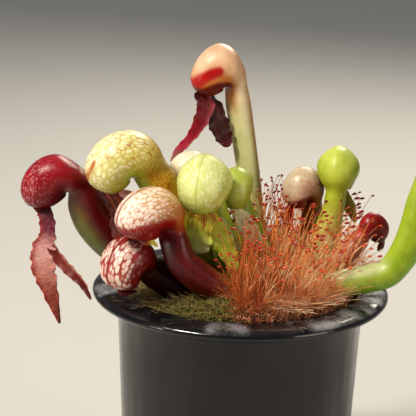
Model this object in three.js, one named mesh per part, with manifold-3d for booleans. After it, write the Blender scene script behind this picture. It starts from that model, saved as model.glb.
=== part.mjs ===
// Potted pitcher plant: hooded cobra-lily pitchers and fruiting moss in a rolled-rim plastic pot.
// Millimetres, +Z up, origin at the middle of the pot's underside. The best-seen side faces -Y.

import * as THREE from 'three';
import { mergeVertices } from 'three/addons/utils/BufferGeometryUtils.js';
import Module from 'manifold-3d';

const wasm = await Module();
wasm.setup();

// ---------------------------------------------------------------- driving dimensions

const POT_HEIGHT = 95;
const RIM_RADIUS = 55;          // the outermost part of the rolled rim
const RIM_DEPTH = 4.8;          // how far the rolled rim turns down
const RIM_FLAT_OUTER = 50;      // the rim is flat from the mouth out to here, then rolls over
const MOUTH_RADIUS = 43.6;
const BODY_TOP_RADIUS = 45.8;   // the outside of the wall, just under the rim
const BODY_BOTTOM_RADIUS = 41.4;
const WALL = 1.3;
const FLOOR = 1.8;
const FOOT_CHAMFER = 1.2;       // the cut corner that the pot stands inside
const MOUTH_CHAMFER = 0.6;
const INNER_LEDGE = 1.0;        // the wall is this much thicker from the soil up to the mouth
const POT_SEGMENTS = 44;
const DRAIN_HOLES = 6;
const DRAIN_RADIUS = 3.5;
const DRAIN_CIRCLE = 27;

const GAP = 0.3;                // clear space between pieces that touch
const SOIL_TOP = 88.5;
const SOIL_RADIUS = 42.9;
const SOIL_SHOULDER = 2;        // the soil's top edge is rounded down over this height
const SOIL_SEGMENTS = 40;
const MOSS_RADIUS = 42.9;
const MOSS_EDGE_HEIGHT = 6.6;   // the red cushion's height above the soil at the pot's wall
const MOSS_CROWN_HEIGHT = 10.5; // and at its highest place
const MOSS_SPLIT_X = -2;        // left of this line the moss is green, right of it red with stalks

const LIP_ROUND = 0.7;          // radius of the fold where hood and tube meet
const RINGS_PER_STATION = 2;    // tube rings for each station of a pitcher's path
const HOOD_RINGS = 10;
const RING_SIDES = 10;
const NOSE_WIDTH = 0.84;        // widths of the hood's nose and lip as shares of its greatest width
const LIP_WIDTH = 0.6;
const NECK_FROM_HOOD = 0.62;    // the neck's half width: this share of the hood's half width
const NECK_FROM_BACK = 0.12;    // plus this share of the neck's depth
const BLADE_THICKNESS = 0.9;
const BLADE_RIPPLE = 0.35;      // how far a tongue's edge swings to and fro

const STALK_COUNT = 130;        // moss stalks with a spore capsule each
const STALK_SPACING = 2.2;
const STALK_RADIUS = 0.32;
const CAPSULE_RADIUS = 0.8;
const CAPSULE_LENGTH = 2.1;
const STALK_SEED = 11;

// Each pitcher: path = middle and radius of the tube, from its root in the soil to the neck,
// notch = the fold at the back of the mouth, heading = compass direction that the hood faces
// (degrees from +X towards +Y), hood = [angle, reach] from the notch to the back, the crown,
// the nose and the lip, in the plane of the heading, half = half the hood's greatest width, and
// neck = half the neck's width, where the hood's own width doesn't give it.
// lobes = the forked tongue, as points [x, y, z, half width]; face = the way its blades face, and
// fromLip = whether a lobe hangs from the hood's lip or forks off the lobe before it.
const PITCHERS = [
  {
    name: 'pitcher_tall_back', colour: 'cream', heading: 198,
    path: [[12, 20, 79, 3.0], [7.0, 22.5, 104, 3.2], [3.0, 24.5, 128, 3.9], [-0.8, 25, 150, 4.3]],
    notch: [-8.1, 24, 163.4], half: 8.2, keel: 0.02, wing: 0.18,
    hood: [[148, 9.6], [81, 17.2], [27, 13.8], [-12, 9.6]],
    lobes: [
      { fromLip: true, face: [0.3, -1, 0.4], points: [[-14.8, 18.8, 158, 3.4], [-17, 17, 151.2, 2.6],
        [-20.4, 16.6, 145.6, 1.7], [-24.2, 17.4, 141, 1.6], [-27.2, 18, 136.4, 0.6]] },
      { fromLip: true, face: [0.3, -1, 0], points: [[-12.4, 20, 156.4, 4.0], [-9.4, 20, 150, 3.8],
        [-7.2, 20, 145, 3.0], [-5.6, 19, 142.4, 1.2]] },
    ],
  },
  {
    name: 'pitcher_left_crimson', colour: 'crimson', heading: 196,
    path: [[-25, 10, 79, 4.4], [-34.4, 11, 96.4, 4.6], [-46.4, 11, 105.9, 6.9], [-54.8, 10, 116.6, 7.5]],
    notch: [-65, 6.5, 126], half: 8.8, keel: 0.02, wing: 0.16,
    hood: [[138, 10.6], [76, 15.0], [9, 17.6], [-22, 12.6]],
    lobes: [
      { fromLip: true, face: [0.2, -1, 0.2], points: [[-72.4, 0.8, 119, 2.8], [-71.4, -3, 112.6, 3.0],
        [-72.6, -5.6, 107.6, 4.4], [-72.4, -7, 101, 4.4], [-70, -8, 93, 3.0], [-66.2, -9, 80.5, 0.7]] },
      { fromLip: false, face: [0.4, -1, 0.5], points: [[-70.6, -4, 109.4, 1.6], [-66.4, -7, 104, 2.1], [-61.4, -10.5, 100, 1.9],
        [-57.6, -14.5, 97.6, 1.4], [-54.2, -18, 93.2, 0.6]] },
    ],
  },
  {
    name: 'pitcher_veined', colour: 'lime', heading: 196,
    path: [[-9.5, -1, 79, 4], [-12.6, -1, 98, 4.6], [-18.4, -1, 112, 5.6], [-25.6, -1, 126, 6.4]],
    notch: [-41, -3, 134.6], half: 9.8, keel: 0.02, wing: 0.1,
    hood: [[147, 14.1], [87, 17.9], [13, 17.3], [-29, 9.9]],
    lobes: [
      { fromLip: true, face: [-0.3, -1, 0.2], points: [[-46.8, -4.4, 126.4, 3.2], [-45, -4, 122, 3.6],
        [-45.2, -3.4, 116.6, 3.4], [-46.4, -3, 111.6, 1.4]] },
      { fromLip: false, face: [0.5, -1, 0], points: [[-47, -4.2, 127.4, 1.6], [-43, -5, 129, 2.2], [-40, -5.6, 125.6, 2.4],
        [-39, -6, 121.6, 0.9]] },
    ],
  },
  {
    name: 'pitcher_front_red', colour: 'red', heading: 214,
    path: [[3.5, -19.5, 79, 4.2], [-2.4, -21, 94.6, 4.8], [-12.6, -22.2, 102.6, 5.4], [-21.8, -21.8, 110.4, 5.4]],
    notch: [-30, -21.4, 120.6], half: 9.0, keel: 0.03, wing: 0.1,
    hood: [[160, 9.4], [84, 16.2], [21, 18.4], [-12, 9.4]],
    lobes: [
      { fromLip: true, face: [-0.4, -1, 0.6], points: [[-34.4, -29.4, 118.8, 1.3],
        [-32.2, -29.4, 118.8, 1.0], [-30.2, -29, 117.2, 0.5]] },
    ],
  },
  {
    name: 'pitcher_low_red', colour: 'red', heading: 232,
    path: [[-15, -11, 79, 4.2], [-19, -11.4, 91, 4.8], [-25, -12, 98, 5.6], [-31, -13.2, 102.6, 5.8]],
    notch: [-38.8, -18.2, 103], half: 9.0, keel: 0.03, wing: 0.08,
    hood: [[150, 8.6], [80, 15.2], [14, 14.8], [-28, 8.4]],
    lobes: [
      { fromLip: true, face: [-0.6, -0.6, 1], points: [[-42.4, -25.8, 98.8, 1.4],
        [-40, -25.8, 98.8, 1.2], [-37.4, -25.2, 99, 0.6]] },
    ],
  },
  {
    name: 'pitcher_front_green', colour: 'lime', heading: 256,
    path: [[2.5, -8, 79, 4.2], [0.4, -8, 99, 5], [-4, -7.8, 111, 5.6], [-9.4, -7, 121, 5.2]],
    notch: [-14, -11.6, 128], half: 9.8, keel: 0.15, wing: 0.06,
    hood: [[165, 6.4], [92, 17.7], [34, 14.6], [-6, 9]],
    lobes: [
      { fromLip: true, face: [-0.3, -1, 0.2], points: [[-15.4, -19, 124.4, 4.2],
        [-15.6, -17.4, 119.2, 4.9], [-15.8, -16.2, 114.6, 4.8], [-15.2, -15.6, 110.8, 2.4]] },
      { fromLip: true, face: [0.3, -1, 0.1], points: [[-11.6, -17.6, 123.6, 3.2],
        [-8.2, -16.6, 117.2, 3.8], [-4.8, -16.2, 110.8, 3.2], [-1.6, -16, 105, 1.0]] },
    ],
  },
  {
    name: 'pitcher_cream_behind', colour: 'cream', heading: 200,
    path: [[-4, 11, 79, 3.2], [-6, 11.6, 98, 3.6], [-9.4, 12, 112, 3.8], [-12.6, 11.6, 124, 3.8]],
    notch: [-18.4, 9.8, 130.8], half: 6.4, keel: 0.04, wing: 0.1,
    hood: [[165, 7], [90, 11.6], [30, 11.0], [-12, 6.4]],
    lobes: [
      { fromLip: true, face: [-0.6, -1, 0], points: [[-23.8, 8.2, 127, 2.2], [-24, 9, 122.6, 1.6],
        [-24, 9.6, 119, 0.7]] },
    ],
  },
  {
    name: 'pitcher_small_green', colour: 'lime', heading: 262,
    path: [[12.5, 3.5, 79, 3.6], [9.2, 4, 98, 4.4], [4.6, 5, 111, 4.8], [0.4, 5.4, 120.4, 4.2]],
    notch: [-2.4, 1.8, 125.7], half: 6.2, keel: 0.04, wing: 0.1,
    hood: [[160, 6.4], [90, 13.2], [28, 10.4], [-10, 6.2]],
    lobes: [
      { fromLip: true, face: [0.2, -1, 0.2], points: [[-1.0, -3.4, 122, 2.6], [2.0, -2.2, 116.8, 3.4],
        [4.4, -1.6, 112.6, 3.2], [7.0, -1.4, 108.4, 1.4]] },
    ],
  },
  {
    name: 'pitcher_small_cream', colour: 'cream', heading: 214,
    path: [[27, 14.5, 79, 3.4], [26, 15, 98, 3.8], [26, 15.6, 110, 4], [26.2, 15.6, 118.6, 3.9]],
    notch: [22.8, 12.4, 123.6], half: 6.4, keel: 0.04, wing: 0.1,
    hood: [[168, 7.2], [88, 13.4], [26, 8.8], [-14, 6.0]],
    lobes: [
      { fromLip: true, face: [-0.6, -1, 0], points: [[17.4, 8.6, 119.4, 2.2], [16.8, 7.6, 115.4, 1.8],
        [16.4, 7.2, 111.6, 0.7]] },
    ],
  },
  {
    name: 'pitcher_upright_green', colour: 'lime', heading: 82,
    path: [[30, 4.4, 79, 4.6], [30, 5, 98, 5.8], [31.4, 6, 112, 5.4], [33.6, 7, 122.4, 4.0]],
    notch: [35, 10.6, 129.6], half: 7.9, keel: 0.17, wing: 0.06, neck: 4.1,
    hood: [[172, 6.6], [96, 14.6], [30, 12.4], [-14, 7.6]],
    lobes: [
      { fromLip: true, face: [0, 1, 0.2], points: [[37.2, 17, 126, 2.4], [40, 16, 121.8, 2.4],
        [42.8, 15, 115.6, 0.9]] },
      { fromLip: true, face: [0, 1, 0.2], points: [[35, 17.4, 124, 2.2], [32.6, 17.4, 118, 0.8]] },
    ],
  },
  {
    name: 'pitcher_bud_red', colour: 'crimson', heading: 12,
    path: [[30, -5, 79, 3.2], [32, -4.6, 98.6, 3.4], [36.4, -3.4, 106.6, 3.6], [41.4, -2.2, 111, 3.6]],
    notch: [47, -0.6, 113], half: 4.0, keel: 0.05, wing: 0.08,
    hood: [[130, 6.8], [92, 10.4], [40, 8.8], [-2, 5.2]],
    lobes: [
      { fromLip: true, face: [0.2, -1, 0.3], points: [[51.2, -0.2, 110.8, 1.2], [50.2, -0.6, 109, 0.6]] },
    ],
  },
  {
    name: 'pitcher_right_arched', colour: 'lime', heading: 2,
    path: [[17, -15.5, 79, 4.2], [25, -16, 94.5, 4.6], [38, -16, 101.6, 4.9], [52.4, -15.6, 105.6, 5.1],
      [59.6, -15, 117, 5.2], [63.2, -14.6, 131, 5.4], [67.4, -14.4, 144.2, 5.8]],
    notch: [75, -14.2, 153.2], half: 9.0, keel: 0.02, wing: 0.1,
    hood: [[160, 12.6], [92, 17.2], [14, 16.6], [-24, 10]],
    lobes: [
      { fromLip: true, face: [0.4, -1, 0.2], points: [[83, -15.2, 144.6, 3.0], [84.2, -16.6, 138.6, 3.8],
        [85.6, -17.4, 131.6, 2.8], [84.6, -18, 124.6, 0.8]] },
      { fromLip: true, face: [0.4, -1, 0.2], points: [[80.6, -14.6, 141, 2.6], [76.8, -13.6, 131, 0.9]] },
    ],
  },
];

const COLOURS = {
  pot: { color: 0x17161a, roughness: 0.22, metalness: 0 },
  soil: { color: 0x2a1d14, roughness: 0.95, metalness: 0 },
  greenMoss: { color: 0x6b7a24, roughness: 0.95, metalness: 0 },
  redMoss: { color: 0xb4562c, roughness: 0.85, metalness: 0 },
  cream: { color: 0xd9d3a4, roughness: 0.45, metalness: 0 },
  lime: { color: 0xa9b944, roughness: 0.42, metalness: 0 },
  red: { color: 0x8f2f2a, roughness: 0.42, metalness: 0 },
  crimson: { color: 0x7c1622, roughness: 0.4, metalness: 0 },
};

// ---------------------------------------------------------------- geometry helpers

const vec = (p) => new THREE.Vector3(p[0], p[1], p[2]);

function seededRandom(seed) {
  let state = seed;
  return () => {
    state = (state * 1664525 + 1013904223) % 4294967296;
    return state / 4294967296;
  };
}

// A closed body through rings of equal count, with a fan of triangles over each end.
function loft(rings) {
  const sides = rings[0].length;
  const positions = rings.flat();
  const index = [];
  for (let r = 0; r + 1 < rings.length; r += 1) {
    for (let k = 0; k < sides; k += 1) {
      const a = r * sides + k;
      const b = r * sides + ((k + 1) % sides);
      index.push(a, b, a + sides, b, b + sides, a + sides);
    }
  }
  for (const [ring, flip] of [[0, true], [rings.length - 1, false]]) {
    if (sides === 3) {
      const a = ring * sides;
      index.push(...(flip ? [a + 1, a, a + 2] : [a, a + 1, a + 2]));
      continue;
    }
    const middle = new THREE.Vector3();
    rings[ring].forEach((p) => middle.addScaledVector(p, 1 / sides));
    const hub = positions.push(middle) - 1;
    for (let k = 0; k < sides; k += 1) {
      const a = ring * sides + k;
      const b = ring * sides + ((k + 1) % sides);
      index.push(...(flip ? [b, a, hub] : [a, b, hub]));
    }
  }
  return outward(new THREE.BufferGeometry().setFromPoints(positions).setIndex(index));
}

function signedVolume(geometry) {
  const p = geometry.getAttribute('position');
  const index = geometry.getIndex();
  const [a, b, c] = [new THREE.Vector3(), new THREE.Vector3(), new THREE.Vector3()];
  let six = 0;
  for (let i = 0; i < index.count; i += 3) {
    a.fromBufferAttribute(p, index.getX(i));
    b.fromBufferAttribute(p, index.getX(i + 1));
    c.fromBufferAttribute(p, index.getX(i + 2));
    six += a.dot(b.cross(c));
  }
  return six / 6;
}

function outward(geometry) {
  if (signedVolume(geometry) < 0) {
    const index = geometry.getIndex();
    for (let i = 0; i < index.count; i += 3) {
      const first = index.getX(i);
      index.setX(i, index.getX(i + 1));
      index.setX(i + 1, first);
    }
  }
  return geometry;
}

function toSolid(geometry) {
  const bare = geometry.clone();
  bare.deleteAttribute('normal');
  bare.deleteAttribute('uv');
  const merged = mergeVertices(bare, 1e-4);
  return new wasm.Manifold(new wasm.Mesh({
    numProp: 3,
    vertProperties: new Float32Array(merged.getAttribute('position').array),
    triVerts: new Uint32Array(merged.getIndex().array),
  }));
}

function toGeometry(solid) {
  const mesh = solid.getMesh();
  const geometry = new THREE.BufferGeometry();
  geometry.setAttribute('position', new THREE.BufferAttribute(new Float32Array(mesh.vertProperties), 3));
  geometry.setIndex(Array.from(mesh.triVerts));
  geometry.computeVertexNormals();
  return geometry;
}

// A turned body: the profile's x is the radius and its y is the height.
function turned(profile, segments) {
  return toSolid(new THREE.LatheGeometry(profile, segments).rotateX(Math.PI / 2));
}

const join = (solids) => solids.reduce((whole, solid) => whole.add(solid));

// The main body of a cut solid, without the loose scraps that the cut left.
const mainBody = (solid) => solid.decompose().sort((a, b) => b.volume() - a.volume())[0];

function namedMesh(name, geometry, colour) {
  const mesh = new THREE.Mesh(geometry, new THREE.MeshStandardMaterial(COLOURS[colour]));
  mesh.name = name;
  return mesh;
}

// ---------------------------------------------------------------- pot and soil

const bodyRadiusAt = (z) => BODY_BOTTOM_RADIUS + ((BODY_TOP_RADIUS - BODY_BOTTOM_RADIUS) * z) / POT_HEIGHT;

function pot() {
  const rimRoll = new THREE.EllipseCurve(RIM_FLAT_OUTER, POT_HEIGHT - RIM_DEPTH / 2,
    RIM_RADIUS - RIM_FLAT_OUTER, RIM_DEPTH / 2, Math.PI / 2, -Math.PI / 2, true).getPoints(5);
  const underRim = POT_HEIGHT - RIM_DEPTH + WALL;
  const profile = [
    new THREE.Vector2(0, 0),
    new THREE.Vector2(BODY_BOTTOM_RADIUS - FOOT_CHAMFER, 0),
    new THREE.Vector2(bodyRadiusAt(FOOT_CHAMFER), FOOT_CHAMFER),
    new THREE.Vector2(bodyRadiusAt(underRim), underRim),
    new THREE.Vector2(RIM_FLAT_OUTER - WALL, underRim),
    ...rimRoll.reverse(),
    new THREE.Vector2(MOUTH_RADIUS + MOUTH_CHAMFER, POT_HEIGHT),
    new THREE.Vector2(MOUTH_RADIUS, POT_HEIGHT - MOUTH_CHAMFER),
    new THREE.Vector2(bodyRadiusAt(SOIL_TOP) - WALL - INNER_LEDGE, SOIL_TOP),
    new THREE.Vector2(bodyRadiusAt(FLOOR) - WALL, FLOOR),
    new THREE.Vector2(0, FLOOR),
  ];
  let solid = turned(profile, POT_SEGMENTS);
  for (let k = 0; k < DRAIN_HOLES; k += 1) {
    const angle = (2 * Math.PI * k) / DRAIN_HOLES;
    const drill = new THREE.CylinderGeometry(DRAIN_RADIUS, DRAIN_RADIUS, 4 * FLOOR, 12);
    drill.rotateX(Math.PI / 2);
    drill.translate(DRAIN_CIRCLE * Math.cos(angle), DRAIN_CIRCLE * Math.sin(angle), 0);
    solid = solid.subtract(toSolid(drill));
  }
  return toGeometry(solid);
}

function soil(rootSpace) {
  const bottom = FLOOR + GAP;
  const profile = [
    new THREE.Vector2(0, bottom),
    new THREE.Vector2(bodyRadiusAt(bottom) - WALL - 3 * GAP, bottom),
    new THREE.Vector2(SOIL_RADIUS - GAP, SOIL_TOP - SOIL_SHOULDER),
    new THREE.Vector2(SOIL_RADIUS - SOIL_SHOULDER, SOIL_TOP),
    new THREE.Vector2(0, SOIL_TOP),
  ];
  return toGeometry(turned(profile, SOIL_SEGMENTS).subtract(rootSpace));
}

// ---------------------------------------------------------------- pitchers

// One ring of a pitcher: `dorsal` and `side` are its half axes, `keel` lifts its top corner
// into a crest and `wing` draws its bottom corner out into the front fin.
function pitcherRing(centre, dorsal, side, keel, wing) {
  const ring = [];
  for (let k = 0; k < RING_SIDES; k += 1) {
    const t = (2 * Math.PI * k) / RING_SIDES;
    const stretch = 1 + (k === 0 ? keel : 0) + (k === RING_SIDES / 2 ? wing : 0);
    ring.push(centre.clone()
      .addScaledVector(dorsal, Math.cos(t) * stretch)
      .addScaledVector(side, Math.sin(t)));
  }
  return ring;
}

function smoothKeys(keys, t) {
  const curve = new THREE.CatmullRomCurve3(keys.map((k) => new THREE.Vector3(k[0], k[1], k[2])), false,
    'catmullrom', 0.5);
  return curve.getPoint(t);
}

// The direction in a pitcher's own upright plane: 0 is ahead, 90 up and 180 back.
function fanDirection(p, degrees) {
  const heading = THREE.MathUtils.degToRad(p.heading);
  const angle = THREE.MathUtils.degToRad(degrees);
  return new THREE.Vector3(Math.cos(heading) * Math.cos(angle), Math.sin(heading) * Math.cos(angle),
    Math.sin(angle));
}

function pitcherBody(p, grow) {
  const notch = vec(p.notch);
  const fan = (degrees) => fanDirection(p, degrees);
  const side = new THREE.Vector3(0, 0, 1).cross(fan(0));
  const hoodRing = (angle, near, far, half) => pitcherRing(
    notch.clone().addScaledVector(fan(angle), (near + far) / 2),
    fan(angle).multiplyScalar((far - near) / 2 + grow), side.clone().multiplyScalar(half + grow), p.keel, 0);

  const [backAngle, back] = p.hood[0];
  const neckHalf = p.neck ?? p.half * NECK_FROM_HOOD + back * NECK_FROM_BACK;
  const neck = notch.clone().addScaledVector(fan(backAngle), (back + LIP_ROUND) / 2);
  const spine = new THREE.CatmullRomCurve3([...p.path.map(vec), neck], false, 'catmullrom', 0.5);
  const depths = [...p.path.map((station) => station[3]), back / 2].map((r) => [r, 0, 0]);
  const widths = [...p.path.map((station) => station[3]), neckHalf].map((r) => [r, 0, 0]);
  const rings = [];
  const tubeRings = p.path.length * RINGS_PER_STATION;
  for (let r = 0; r < tubeRings; r += 1) {
    const t = r / tubeRings;
    const tangent = spine.getPoint(Math.min(t + 0.01, 1)).sub(spine.getPoint(Math.max(t - 0.01, 0))).normalize();
    const across = side.clone().addScaledVector(tangent, -side.dot(tangent)).normalize();
    const dorsal = tangent.clone().cross(across).multiplyScalar(smoothKeys(depths, t).x + grow);
    across.multiplyScalar(smoothKeys(widths, t).x + grow);
    rings.push(pitcherRing(spine.getPoint(t), dorsal, across, 0, p.wing));
  }
  const halves = [neckHalf, p.half, p.half * NOSE_WIDTH, p.half * LIP_WIDTH];
  const keys = p.hood.map(([angle, reach], k) => [angle, reach, halves[k]]);
  for (let r = 0; r <= HOOD_RINGS; r += 1) {
    const key = smoothKeys(keys, r / HOOD_RINGS);
    rings.push(hoodRing(key.x, LIP_ROUND, key.y, key.z));
  }
  if (grow === 0) {
    // the mouth: the lip turns in, and the hollow of the hood rises behind it
    const [lipAngle, lip] = p.hood[3];
    rings.push(hoodRing(lipAngle + 5, 2.7 * LIP_ROUND, lip - 1.3, p.half * (LIP_WIDTH - 0.14)));
    rings.push(hoodRing(lipAngle + 40, 4.4 * LIP_ROUND, lip * 0.9, p.half * (LIP_WIDTH - 0.1)));
  }
  return toSolid(loft(rings));
}

// A leaf-like blade through [x, y, z, half width] points, rooted in the hood's lip if it starts there, a little thicker along its middle,
// its edges rippled by a small swing to and fro.
function blade(p, lobe, grow) {
  const face = vec(lobe.face).normalize();
  const [lipAngle, lip] = p.hood[3];
  const anchor = vec(p.notch).addScaledVector(fanDirection(p, lipAngle + 8), lip - 0.2);
  const stations = lobe.fromLip ? [[...anchor, lobe.points[0][3] * 0.7], ...lobe.points] : lobe.points;
  const points = stations.map(vec);
  const rings = points.map((point, k) => {
    const ahead = points[Math.min(k + 1, points.length - 1)];
    const behind = points[Math.max(k - 1, 0)];
    const along = ahead.clone().sub(behind).normalize();
    const across = along.clone().cross(face).normalize();
    const out = across.clone().cross(along);
    const half = stations[k][3] + grow;
    const ripple = (k % 2 ? BLADE_RIPPLE : -BLADE_RIPPLE) * Math.min(half / 3, 1);
    const corner = (x, y) => point.clone().addScaledVector(across, x).addScaledVector(out, y);
    const thick = BLADE_THICKNESS / 2 + grow;
    return [corner(half, ripple + thick * 0.8), corner(0, thick * 1.2), corner(-half, ripple + thick * 0.8),
      corner(-half, ripple - thick * 0.8), corner(0, -thick * 1.2), corner(half, ripple - thick * 0.8)];
  });
  return toSolid(loft(rings));
}

function pitcher(p, grow) {
  return join([pitcherBody(p, grow), ...p.lobes.map((lobe) => blade(p, lobe, grow))]);
}

// ---------------------------------------------------------------- moss

// Height of the cushion above the soil: domed, lumpy, and highest right of the middle.
function mossHeight(x, y) {
  const edge = Math.sqrt(Math.max(0, 1 - (x * x + y * y) / (MOSS_RADIUS * MOSS_RADIUS)));
  const lumps = 0.9 * Math.sin(x * 0.31 + 1.2) * Math.cos(y * 0.27) + 0.6 * Math.sin(x * 0.6 - y * 0.5);
  const rise = THREE.MathUtils.smoothstep(x, -30, 6);
  return MOSS_EDGE_HEIGHT * (0.35 + 0.65 * rise)
    + (MOSS_CROWN_HEIGHT - MOSS_EDGE_HEIGHT) * edge * rise + lumps * edge;
}

function mossCushion() {
  const around = 40;
  const circles = [0.25, 0.5, 0.72, 0.88, 0.97];
  const bottom = SOIL_TOP + GAP;
  const ring = (radius, height) => Array.from({ length: around }, (_, k) => {
    const angle = (2 * Math.PI * k) / around;
    const x = radius * Math.cos(angle);
    const y = radius * Math.sin(angle);
    return new THREE.Vector3(x, y, bottom + height(x, y));
  });
  const flat = () => 0;
  const wallHeight = (x, y) => mossHeight(x, y) * 0.72;
  const rings = [ring(MOSS_RADIUS - 1.2, flat), ring(MOSS_RADIUS, wallHeight)];
  for (const c of circles.slice().reverse()) {
    rings.push(ring(MOSS_RADIUS * c, mossHeight));
  }
  return toSolid(loft(rings));
}

// Everything on one side of the wavy line where the green moss meets the red.
function mossSide(sign) {
  const reach = RIM_RADIUS;
  const waves = Array.from({ length: 19 }, (_, k) => {
    const y = -reach + (2 * reach * k) / 18;
    const x = MOSS_SPLIT_X + 2.4 * Math.sin(y * 0.3) + 1.2 * Math.sin(y * 0.83 + 1);
    return new THREE.Vector2(x + (sign * GAP) / 2, y);
  });
  const outline = new THREE.Shape([...waves, new THREE.Vector2(sign * reach, reach),
    new THREE.Vector2(sign * reach, -reach)]);
  const slab = new THREE.ExtrudeGeometry(outline, { depth: POT_HEIGHT, bevelEnabled: false, steps: 1 });
  return toSolid(slab.translate(0, 0, SOIL_TOP / 2));
}

// One sporophyte: a thin leaning stalk, three-sided, that swells into a capsule at its tip.
function sporophyte(root, lean, height) {
  const top = root.clone().add(lean);
  top.z += height;
  const rings = [triangle(root, STALK_RADIUS), triangle(top, STALK_RADIUS * 0.8)];
  const nod = lean.clone().setZ(0).normalize().multiplyScalar(CAPSULE_LENGTH * 0.55);
  rings.push(triangle(top.clone().addScaledVector(nod, 0.5).setZ(top.z + CAPSULE_LENGTH * 0.5), CAPSULE_RADIUS));
  rings.push(triangle(top.clone().add(nod).setZ(top.z + CAPSULE_LENGTH), STALK_RADIUS));
  return toSolid(loft(rings));
}

function triangle(middle, radius) {
  return [0, 1, 2].map((k) => {
    const angle = (2 * Math.PI * k) / 3;
    return new THREE.Vector3(middle.x + radius * Math.cos(angle), middle.y + radius * Math.sin(angle), middle.z);
  });
}

// Stalks are drawn by a seeded rule; one that would touch a pitcher or crowd another is drawn again.
function sporophytes(obstacles) {
  const random = seededRandom(STALK_SEED);
  const found = [];
  const roots = [];
  while (found.length < STALK_COUNT) {
    const x = MOSS_SPLIT_X + 3 + random() * (MOSS_RADIUS - MOSS_SPLIT_X - 4);
    const y = (random() * 2 - 1) * (MOSS_RADIUS - 2);
    const height = 9 + 19 * random() * (0.55 + 0.45 * random());
    const direction = random() * 2 * Math.PI;
    const slant = 1 + 5 * random();
    const crowded = roots.some(([a, b]) => Math.hypot(x - a, y - b) < STALK_SPACING);
    if (Math.hypot(x, y) > MOSS_RADIUS - 3 || crowded) {
      continue;
    }
    const root = new THREE.Vector3(x, y, SOIL_TOP + GAP + mossHeight(x, y) - 2);
    const lean = new THREE.Vector3(Math.cos(direction) * slant, Math.sin(direction) * slant, 0);
    const solid = sporophyte(root, lean, height);
    if (solid.intersect(obstacles).isEmpty()) {
      found.push(solid);
      roots.push([x, y]);
    }
  }
  return join(found);
}

// ---------------------------------------------------------------- assembly

const object = new THREE.Group();
const rootSpace = join(PITCHERS.map((p) => pitcherBody(p, GAP)));
const cushion = mossCushion().subtract(rootSpace);
const nearPitchers = join(PITCHERS.map((p) => pitcher(p, GAP)));

object.add(namedMesh('pot', pot(), 'pot'));
object.add(namedMesh('soil', soil(rootSpace), 'soil'));
const greenMoss = mainBody(cushion.intersect(mossSide(-1)));
const redMoss = mainBody(cushion.intersect(mossSide(1)).add(sporophytes(nearPitchers)));
object.add(namedMesh('moss_green', toGeometry(greenMoss), 'greenMoss'));
object.add(namedMesh('moss_red', toGeometry(redMoss), 'redMoss'));
for (const p of PITCHERS) {
  object.add(namedMesh(p.name, toGeometry(pitcher(p, 0)), p.colour));
}

export default object;
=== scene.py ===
# %% [markdown]
# # A potted hooded pitcher plant
# The object is a glossy black plastic pot with a rolled rim. Twelve hooded pitchers with forked
# tongues grow in it, among a cushion of moss, and half of that moss carries thin orange stalks with
# a spore capsule each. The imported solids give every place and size: each piece made here stands in
# the space of one of them and rides with it.

import math

import bpy
import numpy as np
from mathutils import Matrix, Vector, noise


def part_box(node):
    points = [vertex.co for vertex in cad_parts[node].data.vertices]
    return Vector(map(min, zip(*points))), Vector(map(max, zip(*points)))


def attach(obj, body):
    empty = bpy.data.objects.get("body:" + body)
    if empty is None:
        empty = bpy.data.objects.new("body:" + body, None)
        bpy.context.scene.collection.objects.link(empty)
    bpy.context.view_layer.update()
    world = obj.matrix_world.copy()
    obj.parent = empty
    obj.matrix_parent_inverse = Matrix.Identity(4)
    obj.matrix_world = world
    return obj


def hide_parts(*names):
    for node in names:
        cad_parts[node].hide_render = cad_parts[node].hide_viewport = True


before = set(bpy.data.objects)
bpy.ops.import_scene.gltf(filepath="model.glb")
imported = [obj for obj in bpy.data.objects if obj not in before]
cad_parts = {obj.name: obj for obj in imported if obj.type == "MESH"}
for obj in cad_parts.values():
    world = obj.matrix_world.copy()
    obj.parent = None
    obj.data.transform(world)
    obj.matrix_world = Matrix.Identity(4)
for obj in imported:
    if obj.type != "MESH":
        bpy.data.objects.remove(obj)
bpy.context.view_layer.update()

# %% [markdown]
# ## Small tools
# Colours are written as six hex digits, the way a paint chart gives them. A shader wants linear
# light, so one function converts them. Another writes a node tree one call a node, which keeps the
# trees below short enough to read.

# %% Colour and node helpers
MM = 0.001


def paint(code):
    """Six hex digits as the linear colour with alpha that a shader takes."""
    parts = [int(code[k:k + 2], 16) / 255 for k in (0, 2, 4)]
    return (*(c / 12.92 if c <= 0.04045 else ((c + 0.055) / 1.055) ** 2.4 for c in parts), 1.0)


def link(name, data):
    """A new object in the scene."""
    made = bpy.data.objects.new(name, data)
    bpy.context.scene.collection.objects.link(made)
    return made


def new_mesh(name, points, faces=(), scale=MM):
    """A mesh of points that are given in millimetres, or in another scale."""
    mesh = bpy.data.meshes.new(name)
    mesh.from_pydata([tuple(scale * c for c in point) for point in points], [], faces)
    return mesh


def pick(sockets, key):
    """The socket in use with that name or number: a node hides one for each other kind of value."""
    shown = [s for s in sockets if s.enabled]
    return shown[key] if isinstance(key, int) else next(s for s in shown if s.name == key)


class Out:
    """An output of a node. It works in sums, and out["Name"] is another output of its node."""

    def __init__(self, plan, node, key=0):
        self.plan, self.node, self.key = plan, node, key

    def __getitem__(self, key):
        return Out(self.plan, self.node, key)

    def __rsub__(self, other):
        return self.plan.math("SUBTRACT", other, self)


for sign, how in (("add", "ADD"), ("sub", "SUBTRACT"), ("mul", "MULTIPLY"), ("truediv", "DIVIDE"),
                  ("lt", "LESS_THAN"), ("gt", "GREATER_THAN")):
    setattr(Out, f"__{sign}__", lambda self, other, how=how: self.plan.math(how, self, other))


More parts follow.
